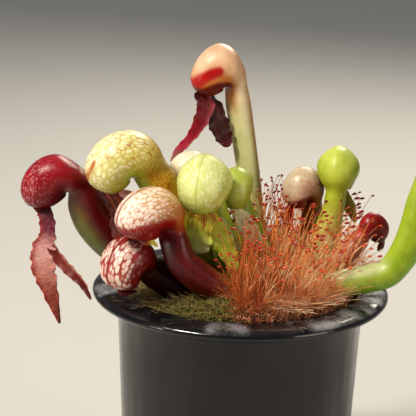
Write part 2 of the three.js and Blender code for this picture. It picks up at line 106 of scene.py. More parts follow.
class Plan:
    """A node tree that is written one call a node. result is the node that takes what it makes."""

    def __init__(self, tree, result=None):
        self.tree, self.result = tree, result

    def fill(self, node, values):
        """Links or sets the node's inputs. A colour may be given as its hex code."""
        for key, value in values.items():
            socket = pick(node.inputs, key)
            if isinstance(value, Out):
                self.tree.links.new(pick(value.node.outputs, value.key), socket)
            else:
                socket.default_value = paint(value) if socket.type == "RGBA" else value

    def give(self, values):
        self.fill(self.result, values)

    def add(self, kind, into=None, **settings):
        node = self.tree.nodes.new(kind)
        for name, value in settings.items():
            setattr(node, name, value)
        self.fill(node, into or {})
        return Out(self, node)

    def geo(self, kind, into=None, **settings):
        return self.add("GeometryNode" + kind, into, **settings)

    def shade(self, kind, into=None, **settings):
        return self.add("ShaderNode" + kind, into, **settings)

    def math(self, how, *values):
        return self.shade("Math", dict(enumerate(values)), operation=how)

    def vector(self, how, *values):
        return self.shade("VectorMath", dict(enumerate(values)), operation=how)

    def xyz(self, x=0.0, y=0.0, z=0.0):
        return self.shade("CombineXYZ", {0: x, 1: y, 2: z})

    def split(self, vector):
        return self.shade("SeparateXYZ", {0: vector})

    def random(self, seed, low=0.0, high=1.0):
        """A random number for each point, or a random vector when low and high are vectors."""
        kind = "FLOAT_VECTOR" if isinstance(low, tuple) else "FLOAT"
        return self.add("FunctionNodeRandomValue", {"Min": low, "Max": high, "Seed": seed}, data_type=kind)

    def ramp(self, value, low, high, start=0.0, end=1.0):
        """The value, moved smoothly from the span low..high to start..end."""
        return self.shade("MapRange", {0: value, 1: low, 2: high, 3: start, 4: end},
                          interpolation_type="SMOOTHSTEP")

    def mix(self, share, first, second, how="MIX"):
        return self.shade("Mix", {0: share, 1: first, 2: second}, data_type="RGBA", blend_type=how)

    def noise(self, place, scale, detail=3.0, roughness=0.5):
        return self.shade("TexNoise", {"Vector": place, "Scale": scale, "Detail": detail,
                                       "Roughness": roughness})

    def place(self):
        return self.shade("TexCoord")["Object"]

    def attribute(self, name, output="Fac"):
        return self.shade("Attribute", attribute_name=name)[output]

    def bump(self, strength, depth, height):
        """A bumped normal; depth is in millimetres."""
        return self.shade("Bump", {"Strength": strength, "Distance": depth * MM, "Height": height})

    def store(self, shape, label, value, kind="FLOAT"):
        return self.geo("StoreNamedAttribute", {"Geometry": shape, "Name": label, "Value": value},
                        data_type=kind, domain="POINT")

    def without(self, points, which):
        return self.geo("DeleteGeometry", {"Geometry": points, "Selection": which}, domain="POINT")

    def shape_of(self, thing):
        return self.geo("ObjectInfo", {"Object": thing}, transform_space="ORIGINAL")["Geometry"]

    def distance(self, thing, place):
        """How far the place is from the object's surface."""
        return self.geo("Proximity", {0: self.shape_of(thing), "Sample Position": place},
                        target_element="FACES")["Distance"]

    def coated(self, shape, skin):
        """The shape made real, with this material."""
        real = self.geo("RealizeInstances", {0: shape})
        return self.geo("SetMaterial", {"Geometry": real, "Material": skin})


def new_material(name):
    """A material with one Principled shader, and its plan."""
    material = bpy.data.materials.new(name)
    material.use_nodes = True
    return material, Plan(material.node_tree, material.node_tree.nodes["Principled BSDF"])


def new_group(name, kind, inputs, outputs):
    """A node group with named sockets; returns it, its plan and its inputs. An input is told by its
    kind of socket or by its first value."""
    tree = bpy.data.node_groups.new(name, kind)
    for label, start in inputs.items():
        socket = start if isinstance(start, str) else type(start).__name__.title()
        made = tree.interface.new_socket(label, in_out="INPUT", socket_type="NodeSocket" + socket)
        if socket != start:
            made.default_value = start
    for label in outputs:
        socket = "Geometry" if kind == "GeometryNodeTree" else "Float"
        tree.interface.new_socket(label, in_out="OUTPUT", socket_type="NodeSocket" + socket)
    plan = Plan(tree)
    given = plan.add("NodeGroupInput")
    plan.result = plan.add("NodeGroupOutput").node
    return tree, plan, given


# %% [markdown]
# ## Camera
# The pot's rim shows as a flat ellipse, which says that the eye is 15.5 degrees above it, and it
# tips a little down to the right, so the camera is rolled by 1.6 degrees. The pot runs out of the
# picture at the bottom and one pitcher at the right.

# %% Camera
AIM = Vector((-12.8, 0.0, 123.6)) * MM
EYE_DISTANCE = 620 * MM
EYE_ABOVE = math.radians(15.5)
ROLL = math.radians(1.6)
FIELD = 152.5 * MM        # what the picture spans at the aim's distance

back = Vector((0, -math.cos(EYE_ABOVE), math.sin(EYE_ABOVE)))
level_up = Vector((0, math.sin(EYE_ABOVE), math.cos(EYE_ABOVE)))
level_right = Vector((1, 0, 0))
right = level_right * math.cos(ROLL) + level_up * math.sin(ROLL)
up = level_up * math.cos(ROLL) - level_right * math.sin(ROLL)
camera = link("camera", bpy.data.cameras.new("camera"))
camera.matrix_world = Matrix((right, up, back)).transposed().to_4x4()
camera.location = AIM + back * EYE_DISTANCE
camera.data.sensor_width = 36
camera.data.lens = camera.data.sensor_width * EYE_DISTANCE / FIELD
camera.data.clip_start = 10 * MM
bpy.context.scene.camera = camera
print("lens", round(camera.data.lens, 1), "mm")

# %% [markdown]
# ## Floor and light
# A pale floor and a pale world keep the picture plain. The sun in the real scene comes from high on
# the left and a little behind, so the main soft box stands there. Two tall narrow boxes give the
# pot the upright streaks that tell the eye it is round and glossy.


# %% Floor and lights
def soft_box(name, place, aim_height, width, height, watts, colour):
    light = bpy.data.lights.new(name, "AREA")
    light.shape = "RECTANGLE"
    light.size, light.size_y = width, height
    light.energy = watts
    light.color = paint(colour)[:3]
    lamp = link(name, light)
    lamp.location = place
    lamp.rotation_euler = (Vector((0, 0, aim_height)) - Vector(place)).to_track_quat("-Z", "Y").to_euler()


soft_box("main_light", (-0.46, -0.34, 0.80), 0.12, 0.16, 0.16, 9.6, "FFF7EA")
soft_box("fill_light", (0.75, -0.55, 0.45), 0.08, 0.5, 0.5, 1.2, "F2F6FF")
soft_box("back_light", (0.20, 0.7, 0.62), 0.13, 0.4, 0.3, 5.0, "FFF6E4")
soft_box("left_strip", (-0.55, -0.32, 0.10), 0.05, 0.05, 0.5, 1.4, "FFE9D2")
soft_box("right_strip", (0.62, -0.42, 0.16), 0.05, 0.26, 0.6, 2.2, "FFE0C4")
bpy.context.scene.view_settings.view_transform = "Standard"

world = bpy.data.worlds.new("studio")
bpy.context.scene.world = world
world.use_nodes = True
sky = world.node_tree.nodes["Background"]
sky.inputs["Color"].default_value = paint("DADCE0")
sky.inputs["Strength"].default_value = 0.26

REACH = 4.0               # how far the floor runs each way, in metres
corners = [(x, y, 0) for x, y in ((-REACH, -REACH), (REACH, -REACH), (REACH, REACH), (-REACH, REACH))]
floor = link("floor", new_mesh("floor", corners, [(0, 1, 2, 3)], 1.0))
floor_paint, plan = new_material("pale_floor")
plan.give({"Base Color": "C4C2BD", "Roughness": 0.85})
floor.data.materials.append(floor_paint)
print(len(bpy.data.lights), "lights")

# %% [markdown]
# ## Turning a Geometry Nodes result into a plain mesh
# The pieces that repeat or are turned on an axis are made by Geometry Nodes. The modifier's inputs
# are found by name in the tree's interface and set by their identifier. The evaluated result is
# then copied to a plain mesh, so that nothing live is left on the piece.


# %% Grow a mesh with a node tree
def grow(name, seed_mesh, tree, **values):
    """Runs the tree on the seed mesh with these inputs and returns the result as a plain piece."""
    start = link(name + "_start", seed_mesh)
    modifier = start.modifiers.new("grow", "NODES")
    modifier.node_group = tree
    sockets = {s.name.lower().replace(" ", "_"): s.identifier for s in tree.interface.items_tree
               if s.in_out == "INPUT"}
    for label, value in values.items():
        modifier[sockets[label]] = value
    start.update_tag()
    bpy.context.view_layer.update()
    evaluated = start.evaluated_get(bpy.context.evaluated_depsgraph_get())
    mesh = bpy.data.meshes.new_from_object(evaluated)
    mesh.name = name
    bpy.data.objects.remove(start)
    print(name, len(mesh.vertices), "points", sum(len(f.vertices) - 2 for f in mesh.polygons), "triangles")
    return link(name, mesh)


# %% [markdown]
# ## The pot
# A thin plastic nursery pot: a wall with a slight taper, a wide flat flange round the mouth and an
# edge that rolls over and down. Such a pot is moulded round one axis, so its shape follows a rule:
# a half outline, turned. A screw modifier could turn it, but the tree below also drills the drain
# holes in the floor, and its inputs can be changed by name. The outline has the same corners as the
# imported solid, with a finer roll.

# %% Outline of the pot
pot_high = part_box("pot")[1]
POT_HEIGHT = pot_high.z
RIM_RADIUS = pot_high.x
RIM_DEPTH = 4.8 * MM
RIM_FLAT_OUTER = RIM_RADIUS - 5 * MM
MOUTH_RADIUS = 43.6 * MM
BODY_TOP_RADIUS = 45.8 * MM
BODY_BOTTOM_RADIUS = 41.4 * MM
WALL = 1.3 * MM
FOOT = 1.2 * MM           # the chamfer round the foot
POT_FLOOR = 1.8 * MM
SOIL_TOP = 88.5 * MM


def wall_radius(z):
    return BODY_BOTTOM_RADIUS + (BODY_TOP_RADIUS - BODY_BOTTOM_RADIUS) * z / POT_HEIGHT


under = POT_HEIGHT - RIM_DEPTH + WALL
outline = [
    (0, 0), (BODY_BOTTOM_RADIUS - FOOT, 0),
    *((wall_radius(z), z) for z in np.linspace(FOOT, under - 1.0 * MM, 6)),
    (wall_radius(under) + 0.35 * MM, under - 0.3 * MM), (wall_radius(under) + 1.1 * MM, under),
    (RIM_FLAT_OUTER - WALL, under),
    *((RIM_FLAT_OUTER + (RIM_RADIUS - RIM_FLAT_OUTER) * math.cos(a),
       POT_HEIGHT - RIM_DEPTH / 2 + RIM_DEPTH / 2 * math.sin(a))
      for a in np.linspace(-math.pi / 2, math.pi / 2, 15)),
    (MOUTH_RADIUS + 1.4 * MM, POT_HEIGHT), (MOUTH_RADIUS + 0.5 * MM, POT_HEIGHT - 0.12 * MM),
    (MOUTH_RADIUS + 0.1 * MM, POT_HEIGHT - 0.5 * MM), (MOUTH_RADIUS, POT_HEIGHT - 1.1 * MM),
    (wall_radius(SOIL_TOP) - WALL - 1.0 * MM, SOIL_TOP),
    (wall_radius(POT_FLOOR) - WALL, POT_FLOOR), (0, POT_FLOOR)]
outline_mesh = new_mesh("pot_outline", [(r, 0, z) for r, z in outline], scale=1.0)
print("outline:", len(outline), "points, rim radius", round(RIM_RADIUS, 4))

# %% Tree that turns the outline and drills the floor
turn_tree, plan, given = new_group("turn_outline", "GeometryNodeTree", {
    "Outline": "Geometry", "Steps around": 96, "Drain radius": 3.5 * MM, "Drain circle": 27 * MM,
    "Drain holes": 6, "Plastic": "Material"}, ["Pot"])
corner_count = plan.geo("AttributeDomainSize", {0: given["Outline"]}, component="MESH")["Point Count"]
columns = given["Steps around"] + 1.0
grid = plan.geo("MeshGrid", {"Size X": 1.0, "Size Y": 1.0, "Vertices X": corner_count, "Vertices Y": columns})
index = plan.geo("InputIndex")
corner = plan.math("FLOOR", (index + 0.5) / columns)
turn = (index - corner * columns) / given["Steps around"] * math.tau
point = plan.split(plan.geo("SampleIndex", {
    "Geometry": given["Outline"], "Value": plan.geo("InputPosition"), "Index": corner},
    data_type="FLOAT_VECTOR", domain="POINT"))
turned = plan.xyz(point["X"] * plan.math("COSINE", turn), point["X"] * plan.math("SINE", turn), point["Z"])
placed = plan.geo("SetPosition", {"Geometry": grid, "Position": turned})
closed = plan.geo("MergeByDistance", {"Geometry": placed, "Distance": 1e-6})
drill = plan.geo("MeshCylinder", {"Vertices": 24, "Radius": given["Drain radius"], "Depth": 10 * MM})
holes = plan.geo("MeshCircle", {"Vertices": given["Drain holes"], "Radius": given["Drain circle"]})
drills = plan.geo("InstanceOnPoints", {"Points": holes, "Instance": drill})
drills = plan.geo("RealizeInstances", {0: drills})
drilled = plan.geo("MeshBoolean", {0: closed, 1: drills}, operation="DIFFERENCE", solver="EXACT")
plan.give({"Pot": plan.coated(drilled, given["Plastic"])})

# %% [markdown]
# ## Glossy black plastic
# The pot is injection-moulded plastic that shines, with a few paler patches and a little dust on the
# flat rim. One Principled shader gives the gloss. Dust lies only where the surface faces up, so the
# material reads the surface's own upward slope, and noise breaks it into patches and specks.

# %% Dust group
dust_group, plan, given = new_group("settled_dust", "ShaderNodeTree", {
    "Patch size": 120.0, "Speck size": 900.0, "Amount": 0.5}, ["Dust"])
upward = plan.ramp(plan.split(plan.shade("NewGeometry")["Normal"])["Z"], 0.55, 0.95)
patches = plan.ramp(plan.noise(plan.place(), given["Patch size"], 4.0), 0.35, 0.75)
specks = plan.ramp(plan.noise(plan.place(), given["Speck size"], 2.0), 0.58, 0.7)
plan.give({"Dust": upward * (specks * 0.5 + patches) * given["Amount"]})

# %% Plastic material
# where the rim is paler: x, y and reach in millimetres
PALE_RIM_SPOTS = [(-51, -10, 9), (-5, -51, 9), (27, -42, 13), (42, -30, 12), (51, -10, 12),
               (-20, 48, 16), (40, 34, 9)]
black_plastic, plan = new_material("black_plastic")
dust = plan.shade("Group", {"Patch size": 130.0, "Amount": 0.85}, node_tree=dust_group)
paler = 0.0
for x, y, reach in PALE_RIM_SPOTS:
    far = plan.vector("DISTANCE", plan.place(), (x * MM, y * MM, POT_HEIGHT))
    paler = plan.math("MAXIMUM", paler, plan.ramp(far, reach * MM, reach * 0.6 * MM))
dirt = dust * (paler * 0.8 + 0.03)
down_the_wall = plan.vector("MULTIPLY", plan.place(), (1.0, 1.0, 0.12))
plan.give({
    "Base Color": plan.mix(dirt, "08080C", "A6A6AA"),
    "Roughness": plan.ramp(plan.noise(plan.place(), 60.0, 4.0), 0.35, 0.7, 0.12, 0.22) + dirt * 0.6,
    "Normal": plan.bump(0.5, 1.5, plan.noise(down_the_wall, 70.0, 2.0)), "Specular IOR Level": 0.4})
print(len(PALE_RIM_SPOTS), "dried spots")


# %% Make the pot
def face_out(mesh):
    """Turns every face of a closed mesh outwards, and returns the volume."""
    mesh.calc_loop_triangles()
    triangles = [[mesh.vertices[v].co for v in t.vertices] for t in mesh.loop_triangles]
    volume = sum(a.dot(b.cross(c)) for a, b, c in triangles) / 6
    if volume < 0:
        mesh.flip_normals()
    return abs(volume)


pot = grow("moulded_pot", outline_mesh, turn_tree, steps_around=128, plastic=black_plastic)
print("pot plastic:", round(face_out(pot.data) * 1e6, 1), "ml")
pot.data.shade_smooth()
pot.data.set_sharp_from_angle(angle=math.radians(35))
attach(pot, "root")
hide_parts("pot")

# %% [markdown]
# ## Soil
# Dark peat fills the pot below the moss, and shows only through the drain holes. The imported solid
# has the right shape already, so it stays and gets a finish: two noises mix wet dark peat, lighter
# bark and a few pale grains, and the bump makes it crumbly.

# %% Peat
peat, plan = new_material("peat")
crumbs = plan.shade("TexVoronoi", {"Vector": plan.place(), "Scale": 420.0})
damp = plan.ramp(plan.noise(plan.place(), 90.0, 4.0), 0.35, 0.65)
pale_crumbs = plan.ramp(crumbs["Color"], 0.75, 0.95)
plan.give({"Base Color": plan.mix(pale_crumbs, plan.mix(damp, "1C130D", "3A2618"), "6B4A30"),
           "Roughness": 0.95, "Normal": plan.bump(0.9, 0.8, crumbs["Distance"])})
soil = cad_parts["soil"]
soil.data.materials.clear()
soil.data.materials.append(peat)

# %% [markdown]
# ## The pitchers' shape
# Each leaf is a hollow tube that rises from the moss and swells into a hood. The hood bends over
# forwards and ends in a downward mouth, and two thin lobes, the tongue, hang from the mouth's lip.
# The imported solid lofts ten-sided rings: along the tube first, then like a fan round the notch at
# the back of the mouth. Here the same rings have many more sides, and smooth rings go in between
# them. Sculpting by hand would also do, but the rule keeps each leaf in its own solid's space, and
# it knows where every point lies along and around the leaf, which the colours need.

# %% The pitchers, in millimetres
# path: middle and radius of the tube, root to neck. notch: the fold at the back of the mouth.
# heading: compass direction the hood faces. hood: angle and reach from the notch, from the back
# over the crown and the nose to the lip. half: half the hood's width, and neck: half the width of
# its neck. keel: how pointed the crown is. lobes: the tongue, as x, y, z and half width.
def table(text):
    """Rows of numbers, written with spaces in a row and a comma between rows."""
    return np.array([[float(number) for number in row.split()] for row in text.split(",")])


def unit(v):
    return v / np.linalg.norm(v)


def lobe(face, points, lip=True):
    """One lobe of a tongue: the way its face looks, its points, and if it starts at the lip."""
    return dict(face=unit(table(face)[0]), points=table(points), lip=lip)


def pitcher(notch, path, hood, **rest):
    return dict(rest, notch=table(notch)[0], path=table(path), hood=table(hood))


PITCHERS = {
    "tall_back": pitcher(
        heading=198, half=8.2, keel=0.02, wing=0.18, notch="-8.1 24 163.4",
        path="12 20 79 3, 7 22.5 104 3.2, 3 24.5 128 3.9, -.8 25 150 4.3",
        hood="160 9, 125 11.6, 92 16.6, 71 16.8, 40 14.7, 17 13.5, -12 9.6", lobes=[
            lobe(".3 -1 .4", "-14.8 18.8 158 3.4, -17 17 151.2 2.6, -20.4 16.6 145.6 1.7, "
                 "-24.2 17.4 141 1.6, -27.2 18 136.4 .6"),
            lobe(".3 -1 0", "-12.4 20 156.4 4, -9.4 20 150 3.8, -7.2 20 145 3, -5.6 19 142.4 1.2")]),
    "left_crimson": pitcher(
        heading=196, half=8.8, keel=0.02, wing=0.16, notch="-65 6.5 126",
        path="-25 10 79 4.4, -34.4 11 96.4 4.6, -46.4 11 105.9 6.9, -54.8 10 116.6 7.5",
        hood="142 10.6, 118 10.9, 95 12.7, 73 15.4, 45 16.9, 15 17.5, -10 16, -25 12", lobes=[
            lobe(".2 -1 .2", "-72.4 .8 119 2.8, -71.4 -3 112.6 3, -72.6 -5.6 107.6 4.4, "
                 "-72.4 -7 101 4.4, -70 -8 93 3, -66.2 -9 80.5 .7"),
            lobe(".4 -1 .5", "-70.6 -4 109.4 1.6, -66.4 -7 104 2.1, -61.4 -10.5 100 1.9, "
                 "-57.6 -14.5 97.6 1.4, -54.2 -18 93.2 .6", lip=False)]),
    "veined": pitcher(
        heading=196, half=9.8, keel=0.02, wing=0.1, notch="-41 -3 134.6",
        path="-9.5 -1 79 4, -12.6 -1 98 4.6, -18.4 -1 112 5.6, -25.6 -1 126 6.4",
        hood="147 14.1, 87 17.9, 13 17.3, -29 9.9", lobes=[
            lobe("-.3 -1 .2", "-46.8 -4.4 126.4 3.2, -45 -4 122 3.6, -45.2 -3.4 116.6 3.4, "
                 "-46.4 -3 111.6 1.4"),
            lobe(".5 -1 0", "-47 -4.2 127.4 1.6, -43 -5 129 2.2, -40 -5.6 125.6 2.4, "
                 "-39 -6 121.6 .9", lip=False)]),
    "front_red": pitcher(
        heading=214, half=9, keel=0.03, wing=0.1, notch="-30 -21.4 120.6",
        path="3.5 -19.5 79 4.2, -2.4 -21 94.6 4.8, -12.6 -22.2 102.6 5.4, -21.8 -21.8 110.4 5.4",
        hood="160 9.4, 84 16.2, 21 18.4, -12 9.4", lobes=[
            lobe("-.4 -1 .6", "-34.4 -29.4 118.8 1.3, -32.2 -29.4 118.8 1, -30.2 -29 117.2 .5")]),
    "low_red": pitcher(
        heading=232, half=9, keel=0.03, wing=0.08, notch="-38.8 -18.2 103",
        path="-15 -11 79 4.2, -19 -11.4 91 4.8, -25 -12 98 5.6, -31 -13.2 102.6 5.8",
        hood="150 8.6, 80 15.2, 14 14.8, -28 8.4", lobes=[
            lobe("-.6 -.6 1", "-42.4 -25.8 98.8 1.4, -40 -25.8 98.8 1.2, -37.4 -25.2 99 .6")]),
    "front_green": pitcher(
        heading=256, half=9.8, keel=0.15, wing=0.06, notch="-14 -11.6 128",
        path="2.5 -8 79 4.2, .4 -8 99 5, -4 -7.8 111 5.6, -9.4 -7 121 5.2",
        hood="165 6.4, 92 17.7, 34 14.6, -6 9", lobes=[
            lobe("-.3 -1 .2", "-15.4 -19 124.4 4.2, -15.6 -17.4 119.2 4.9, -15.8 -16.2 114.6 4.8, "
                 "-15.2 -15.6 110.8 2.4"),
            lobe(".3 -1 .1", "-11.6 -17.6 123.6 3.2, -8.2 -16.6 117.2 3.8, -4.8 -16.2 110.8 3.2, "
                 "-1.6 -16 105 1")]),
    "cream_behind": pitcher(
        heading=200, half=6.4, keel=0.04, wing=0.1, notch="-18.4 9.8 130.8",
        path="-4 11 79 3.2, -6 11.6 98 3.6, -9.4 12 112 3.8, -12.6 11.6 124 3.8",
        hood="165 7, 90 11.6, 30 11, -12 6.4", lobes=[
            lobe("-.6 -1 0", "-23.8 8.2 127 2.2, -24 9 122.6 1.6, -24 9.6 119 .7")]),
    "small_green": pitcher(
        heading=262, half=6.2, keel=0.04, wing=0.1, notch="-2.4 1.8 125.7",
        path="12.5 3.5 79 3.6, 9.2 4 98 4.4, 4.6 5 111 4.8, .4 5.4 120.4 4.2",
        hood="160 6.4, 90 13.2, 28 10.4, -10 6.2", lobes=[
            lobe(".2 -1 .2", "-1 -3.4 122 2.6, 2 -2.2 116.8 3.4, 4.4 -1.6 112.6 3.2, 7 -1.4 108.4 1.4")]),
    "small_cream": pitcher(
        heading=214, half=6.4, keel=0.04, wing=0.1, notch="22.8 12.4 123.6",
        path="27 14.5 79 3.4, 26 15 98 3.8, 26 15.6 110 4, 26.2 15.6 118.6 3.9",
        hood="168 7.2, 88 13.4, 26 8.8, -14 6", lobes=[
            lobe("-.6 -1 0", "17.4 8.6 119.4 2.2, 16.8 7.6 115.4 1.8, 16.4 7.2 111.6 .7")]),
    "upright_green": pitcher(
        heading=82, half=7.9, keel=0.17, wing=0.06, neck=4.1, notch="35 10.6 129.6",
        path="30 4.4 79 4.6, 30 5 98 5.8, 31.4 6 112 5.4, 33.6 7 122.4 4",
        hood="172 6.6, 96 14.6, 30 12.4, -14 7.6", lobes=[
            lobe("0 1 .2", "37.2 17 126 2.4, 40 16 121.8 2.4, 42.8 15 115.6 .9"),
            lobe("0 1 .2", "35 17.4 124 2.2, 32.6 17.4 118 .8")]),
    "bud_red": pitcher(
        heading=12, half=4, keel=0.05, wing=0.08, notch="47 -.6 113",
        path="30 -5 79 3.2, 32 -4.6 98.6 3.4, 36.4 -3.4 106.6 3.6, 41.4 -2.2 111 3.6",
        hood="130 6.8, 92 10.4, 40 8.8, -2 5.2", lobes=[
            lobe(".2 -1 .3", "51.2 -.2 110.8 1.2, 50.2 -.6 109 .6")]),
    "right_arched": pitcher(
        heading=2, half=9, keel=0.02, wing=0.1, notch="75 -14.2 153.2",
        path="17 -15.5 79 4.2, 25 -16 94.5 4.6, 38 -16 101.6 4.9, 52.4 -15.6 105.6 5.1, 59.6 -15 117 5.2, "
             "63.2 -14.6 131 5.4, 67.4 -14.4 144.2 5.8",
        hood="160 12.6, 92 17.2, 14 16.6, -24 10", lobes=[
            lobe(".4 -1 .2", "83 -15.2 144.6 3, 84.2 -16.6 138.6 3.8, 85.6 -17.4 131.6 2.8, "
                 "84.6 -18 124.6 .8"),
            lobe(".4 -1 .2", "80.6 -14.6 141 2.6, 76.8 -13.6 131 .9")]),
}
print(len(PITCHERS), "pitchers,", sum(len(p["lobes"]) for p in PITCHERS.values()), "tongue lobes")

# %% Smooth curves and rings
SIDES = 64                # points round a section
TURNS = np.linspace(0, 2 * math.pi, SIDES, endpoint=False)
RINGS_PER_STATION = 2
HOOD_RINGS = 10
LIP_ROUND = 0.7           # millimetres between the notch and the hood's near edge
FIN_WIDTH = 0.34          # how wide the fin under the tube is, in radians


def through(keys, share):
    """Points on the smooth curve through the keys; share runs from 0 at the first to 1 at the last."""
    keys = np.asarray(keys, float)
    padded = np.vstack([2 * keys[0] - keys[1], keys, 2 * keys[-1] - keys[-2]])
    place = np.clip(np.atleast_1d(share), 0, 1) * (len(keys) - 1)
    k = np.minimum(place.astype(int), len(keys) - 2)
    f = (place - k)[:, None]
    a, b, c, d = (padded[k + j] for j in range(4))
    return 0.5 * (2 * b + (c - a) * f + (2 * a - 5 * b + 4 * c - d) * f ** 2
                  + (3 * b - a - 3 * c + d) * f ** 3)


def fan(p, degrees):
    """A direction in the pitcher's own upright plane: 0 is ahead, 90 up and 180 back."""
    heading, angle = math.radians(p["heading"]), math.radians(degrees)
    flat = math.cos(angle)
    return np.array([math.cos(heading) * flat, math.sin(heading) * flat, math.sin(angle)])


def ring(centre, dorsal, side, keel, wing):
    """Points round one section; keel raises a crest at the top and wing a fin at the bottom."""
    crest = np.exp(-(np.minimum(TURNS, 2 * math.pi - TURNS) / (0.28 + 1.6 * keel)) ** 2)
    fin = np.exp(-((TURNS - math.pi) / FIN_WIDTH) ** 2)
    stretch = 1 + keel * crest + wing * fin
    return centre + np.outer(np.cos(TURNS) * stretch, dorsal) + np.outer(np.sin(TURNS), side)


def smooth_rows(rows, spacing):
    """Rows of points with even, smooth rows in between; also says which row each one came from."""
    rows = np.asarray(rows, float)
    step = np.linalg.norm(np.diff(rows, axis=0), axis=2).mean(axis=1)
    place = np.concatenate([[0], np.cumsum(step)])
    wide = step[:, None, None]
    slant = np.diff(rows, axis=0) / wide
    inner = (slant[:-1] * wide[1:] + slant[1:] * wide[:-1]) / (wide[1:] + wide[:-1])
    slope = np.concatenate([slant[:1], inner, slant[-1:]])
    at = np.linspace(0, place[-1], max(4, int(place[-1] / spacing)))
    k = np.clip(np.searchsorted(place, at, side="right") - 1, 0, len(step) - 1)
    f = (at - place[k]) / step[k]
    g, h = f[:, None, None], step[k][:, None, None]
    made = ((1 + 2 * g) * (1 - g) ** 2 * rows[k] + g * (1 - g) ** 2 * h * slope[k]
            + g ** 2 * (3 - 2 * g) * rows[k + 1] + g ** 2 * (g - 1) * h * slope[k + 1])
    return made, at, k + f


# %% [markdown]
# ## Shells
# A lofted shell is a stack of rings with a small cap at each end. The functions below keep a
# shell's points and faces together with what each point knows: where it lies along the leaf, how
# far round it, and its place on the unrolled skin, where the veins are drawn.


# %% Shells
def shell(told):
    """The faces of a closed shell, turned outwards, and what each of its points is told. told holds
    an array of values by row and side for each name; the rows of points are one of them."""
    count, sides = told["points"].shape[:2]
    told = {name: np.vstack([values.reshape(count * sides, -1), *values[[0, -1]].mean(axis=1)])
            for name, values in told.items()}
    around = [(k, (k + 1) % sides) for k in range(sides)]
    faces = [(r * sides + a, r * sides + b, (r + 1) * sides + b, (r + 1) * sides + a)
             for r in range(count - 1) for a, b in around]
    first = count * sides          # the middle of the first cap; the last cap's is next
    faces += [(b, a, first) for a, b in around]
    faces += [(first - sides + a, first - sides + b, first + 1) for a, b in around]
    p = told["points"] - told["points"].mean(axis=0)
    six = sum(np.dot(p[f[0]], np.cross(p[f[j]], p[f[j + 1]])) for f in faces for j in range(1, len(f) - 1))
    if six < 0:
        faces = [tuple(reversed(f)) for f in faces]
    return faces, told


def joined(shells):
    """Several shells as one."""
    faces, start = [], 0
    for more, told in shells:
        faces += [tuple(v + start for v in f) for f in more]
        start += len(told["points"])
    return faces, {name: np.vstack([told[name] for _, told in shells]) for name in shells[0][1]}


def leaf_shell(rows, turns, along, at, wide, deep, lobe):
    """A shell whose points are told their place along and round the leaf, and on the unrolled skin:
    at millimetres along it, wide and deep millimetres out. lobe is 0 for the body."""
    flat, top, left = np.ones(rows.shape[:2]), np.cos(turns), np.sin(turns)
    skin = np.stack([flat * at[:, None], np.outer(wide, top), np.outer(deep, left)], axis=2)
    return shell(dict(points=rows, along=flat * along[:, None], top=flat * top, left=flat * left,
                      skin=skin, lobe=flat * lobe))


# %% Body and tongue of one pitcher
RING_SPACING = 0.6
BLADE_SIDES = 22
BLADE_SPACING = 0.55
THINNEST_HALF = 0.35      # half the width of a blade where it is thinnest
BLADE_HALF_THICKNESS = 0.42
RIPPLE = 1.25             # waves of a blade's edge, in radians a millimetre
MOUTH = [  # rings inside the mouth: turned past the lip, near edge, far edge less the lip, half width
    (-3, 1.3, -0.5, 0.56), (3, 1.9, -1.3, 0.49), (22, 2.4, -1.2, 0.49)]
THROAT = [  # the same further in, with the far edge as a share of the lip's reach
    (44, 2.9, 0.92, 0.5), (66, 3.4, 0.9, 0.46), (86, 4.4, 0.84, 0.3)]


def pitcher_rows(p):
    """The sections of tube, hood and mouth, and how far along the leaf each lies: the tube is 0 to
    1, the hood 1 to 2 and the inside of the mouth 2 to 3."""
    side = np.cross([0, 0, 1], fan(p, 0))

    def hood_ring(angle, near, far, half):
        out = fan(p, angle)
        return ring(p["notch"] + out * (near + far) / 2, out * (far - near) / 2, side * half, p["keel"], 0)

    back_angle, back_reach = p["hood"][0]
    neck_half = p.get("neck", p["half"] * 0.62 + back_reach * 0.12)
    neck = p["notch"] + fan(p, back_angle) * (back_reach + LIP_ROUND) / 2
    spine = np.vstack([p["path"][:, :3], neck])
    depth, width = (np.append(p["path"][:, 3], end)[:, None] for end in (back_reach / 2, neck_half))
    rows, along = [], []
    tube_rings = len(p["path"]) * RINGS_PER_STATION
    for r in range(tube_rings):
        share = r / tube_rings
        tangent = unit(through(spine, share + 0.01)[0] - through(spine, share - 0.01)[0])
        across = unit(side - tangent * side.dot(tangent))
        dorsal = np.cross(tangent, across) * through(depth, share)[0, 0]
        wide = across * through(width, share)[0, 0]
        rows.append(ring(through(spine, share)[0], dorsal, wide, 0, p["wing"]))
        along.append(share)
    halves = np.interp(np.linspace(0, 3, len(p["hood"])), [0, 1, 2, 3],
                       [neck_half, p["half"], p["half"] * 0.84, p["half"] * 0.6])
    for r in range(HOOD_RINGS + 1):
        angle, reach, half = through(np.column_stack([p["hood"], halves]), r / HOOD_RINGS)[0]
        rows.append(hood_ring(angle, LIP_ROUND, reach, half))
        along.append(1 + r / HOOD_RINGS)
    lip_angle, lip = p["hood"][-1]
    inside = [(a, near, lip + far, half) for a, near, far, half in MOUTH]
    inside += [(a, near, lip * far, half) for a, near, far, half in THROAT]
    for k, (turn_in, near, far, half) in enumerate(inside):
        rows.append(hood_ring(lip_angle + turn_in, near, far, p["half"] * half))
        along.append(2 + (k + 1) / len(inside))
    return rows, along


def pitcher_body(p):
    rows, along = pitcher_rows(p)
    made, at, came_from = smooth_rows(rows, RING_SPACING)
    reach = np.linalg.norm(made - made.mean(axis=1, keepdims=True), axis=2).mean(axis=1)
    return leaf_shell(made, TURNS, np.interp(came_from, range(len(along)), along), at, reach, reach, 0)


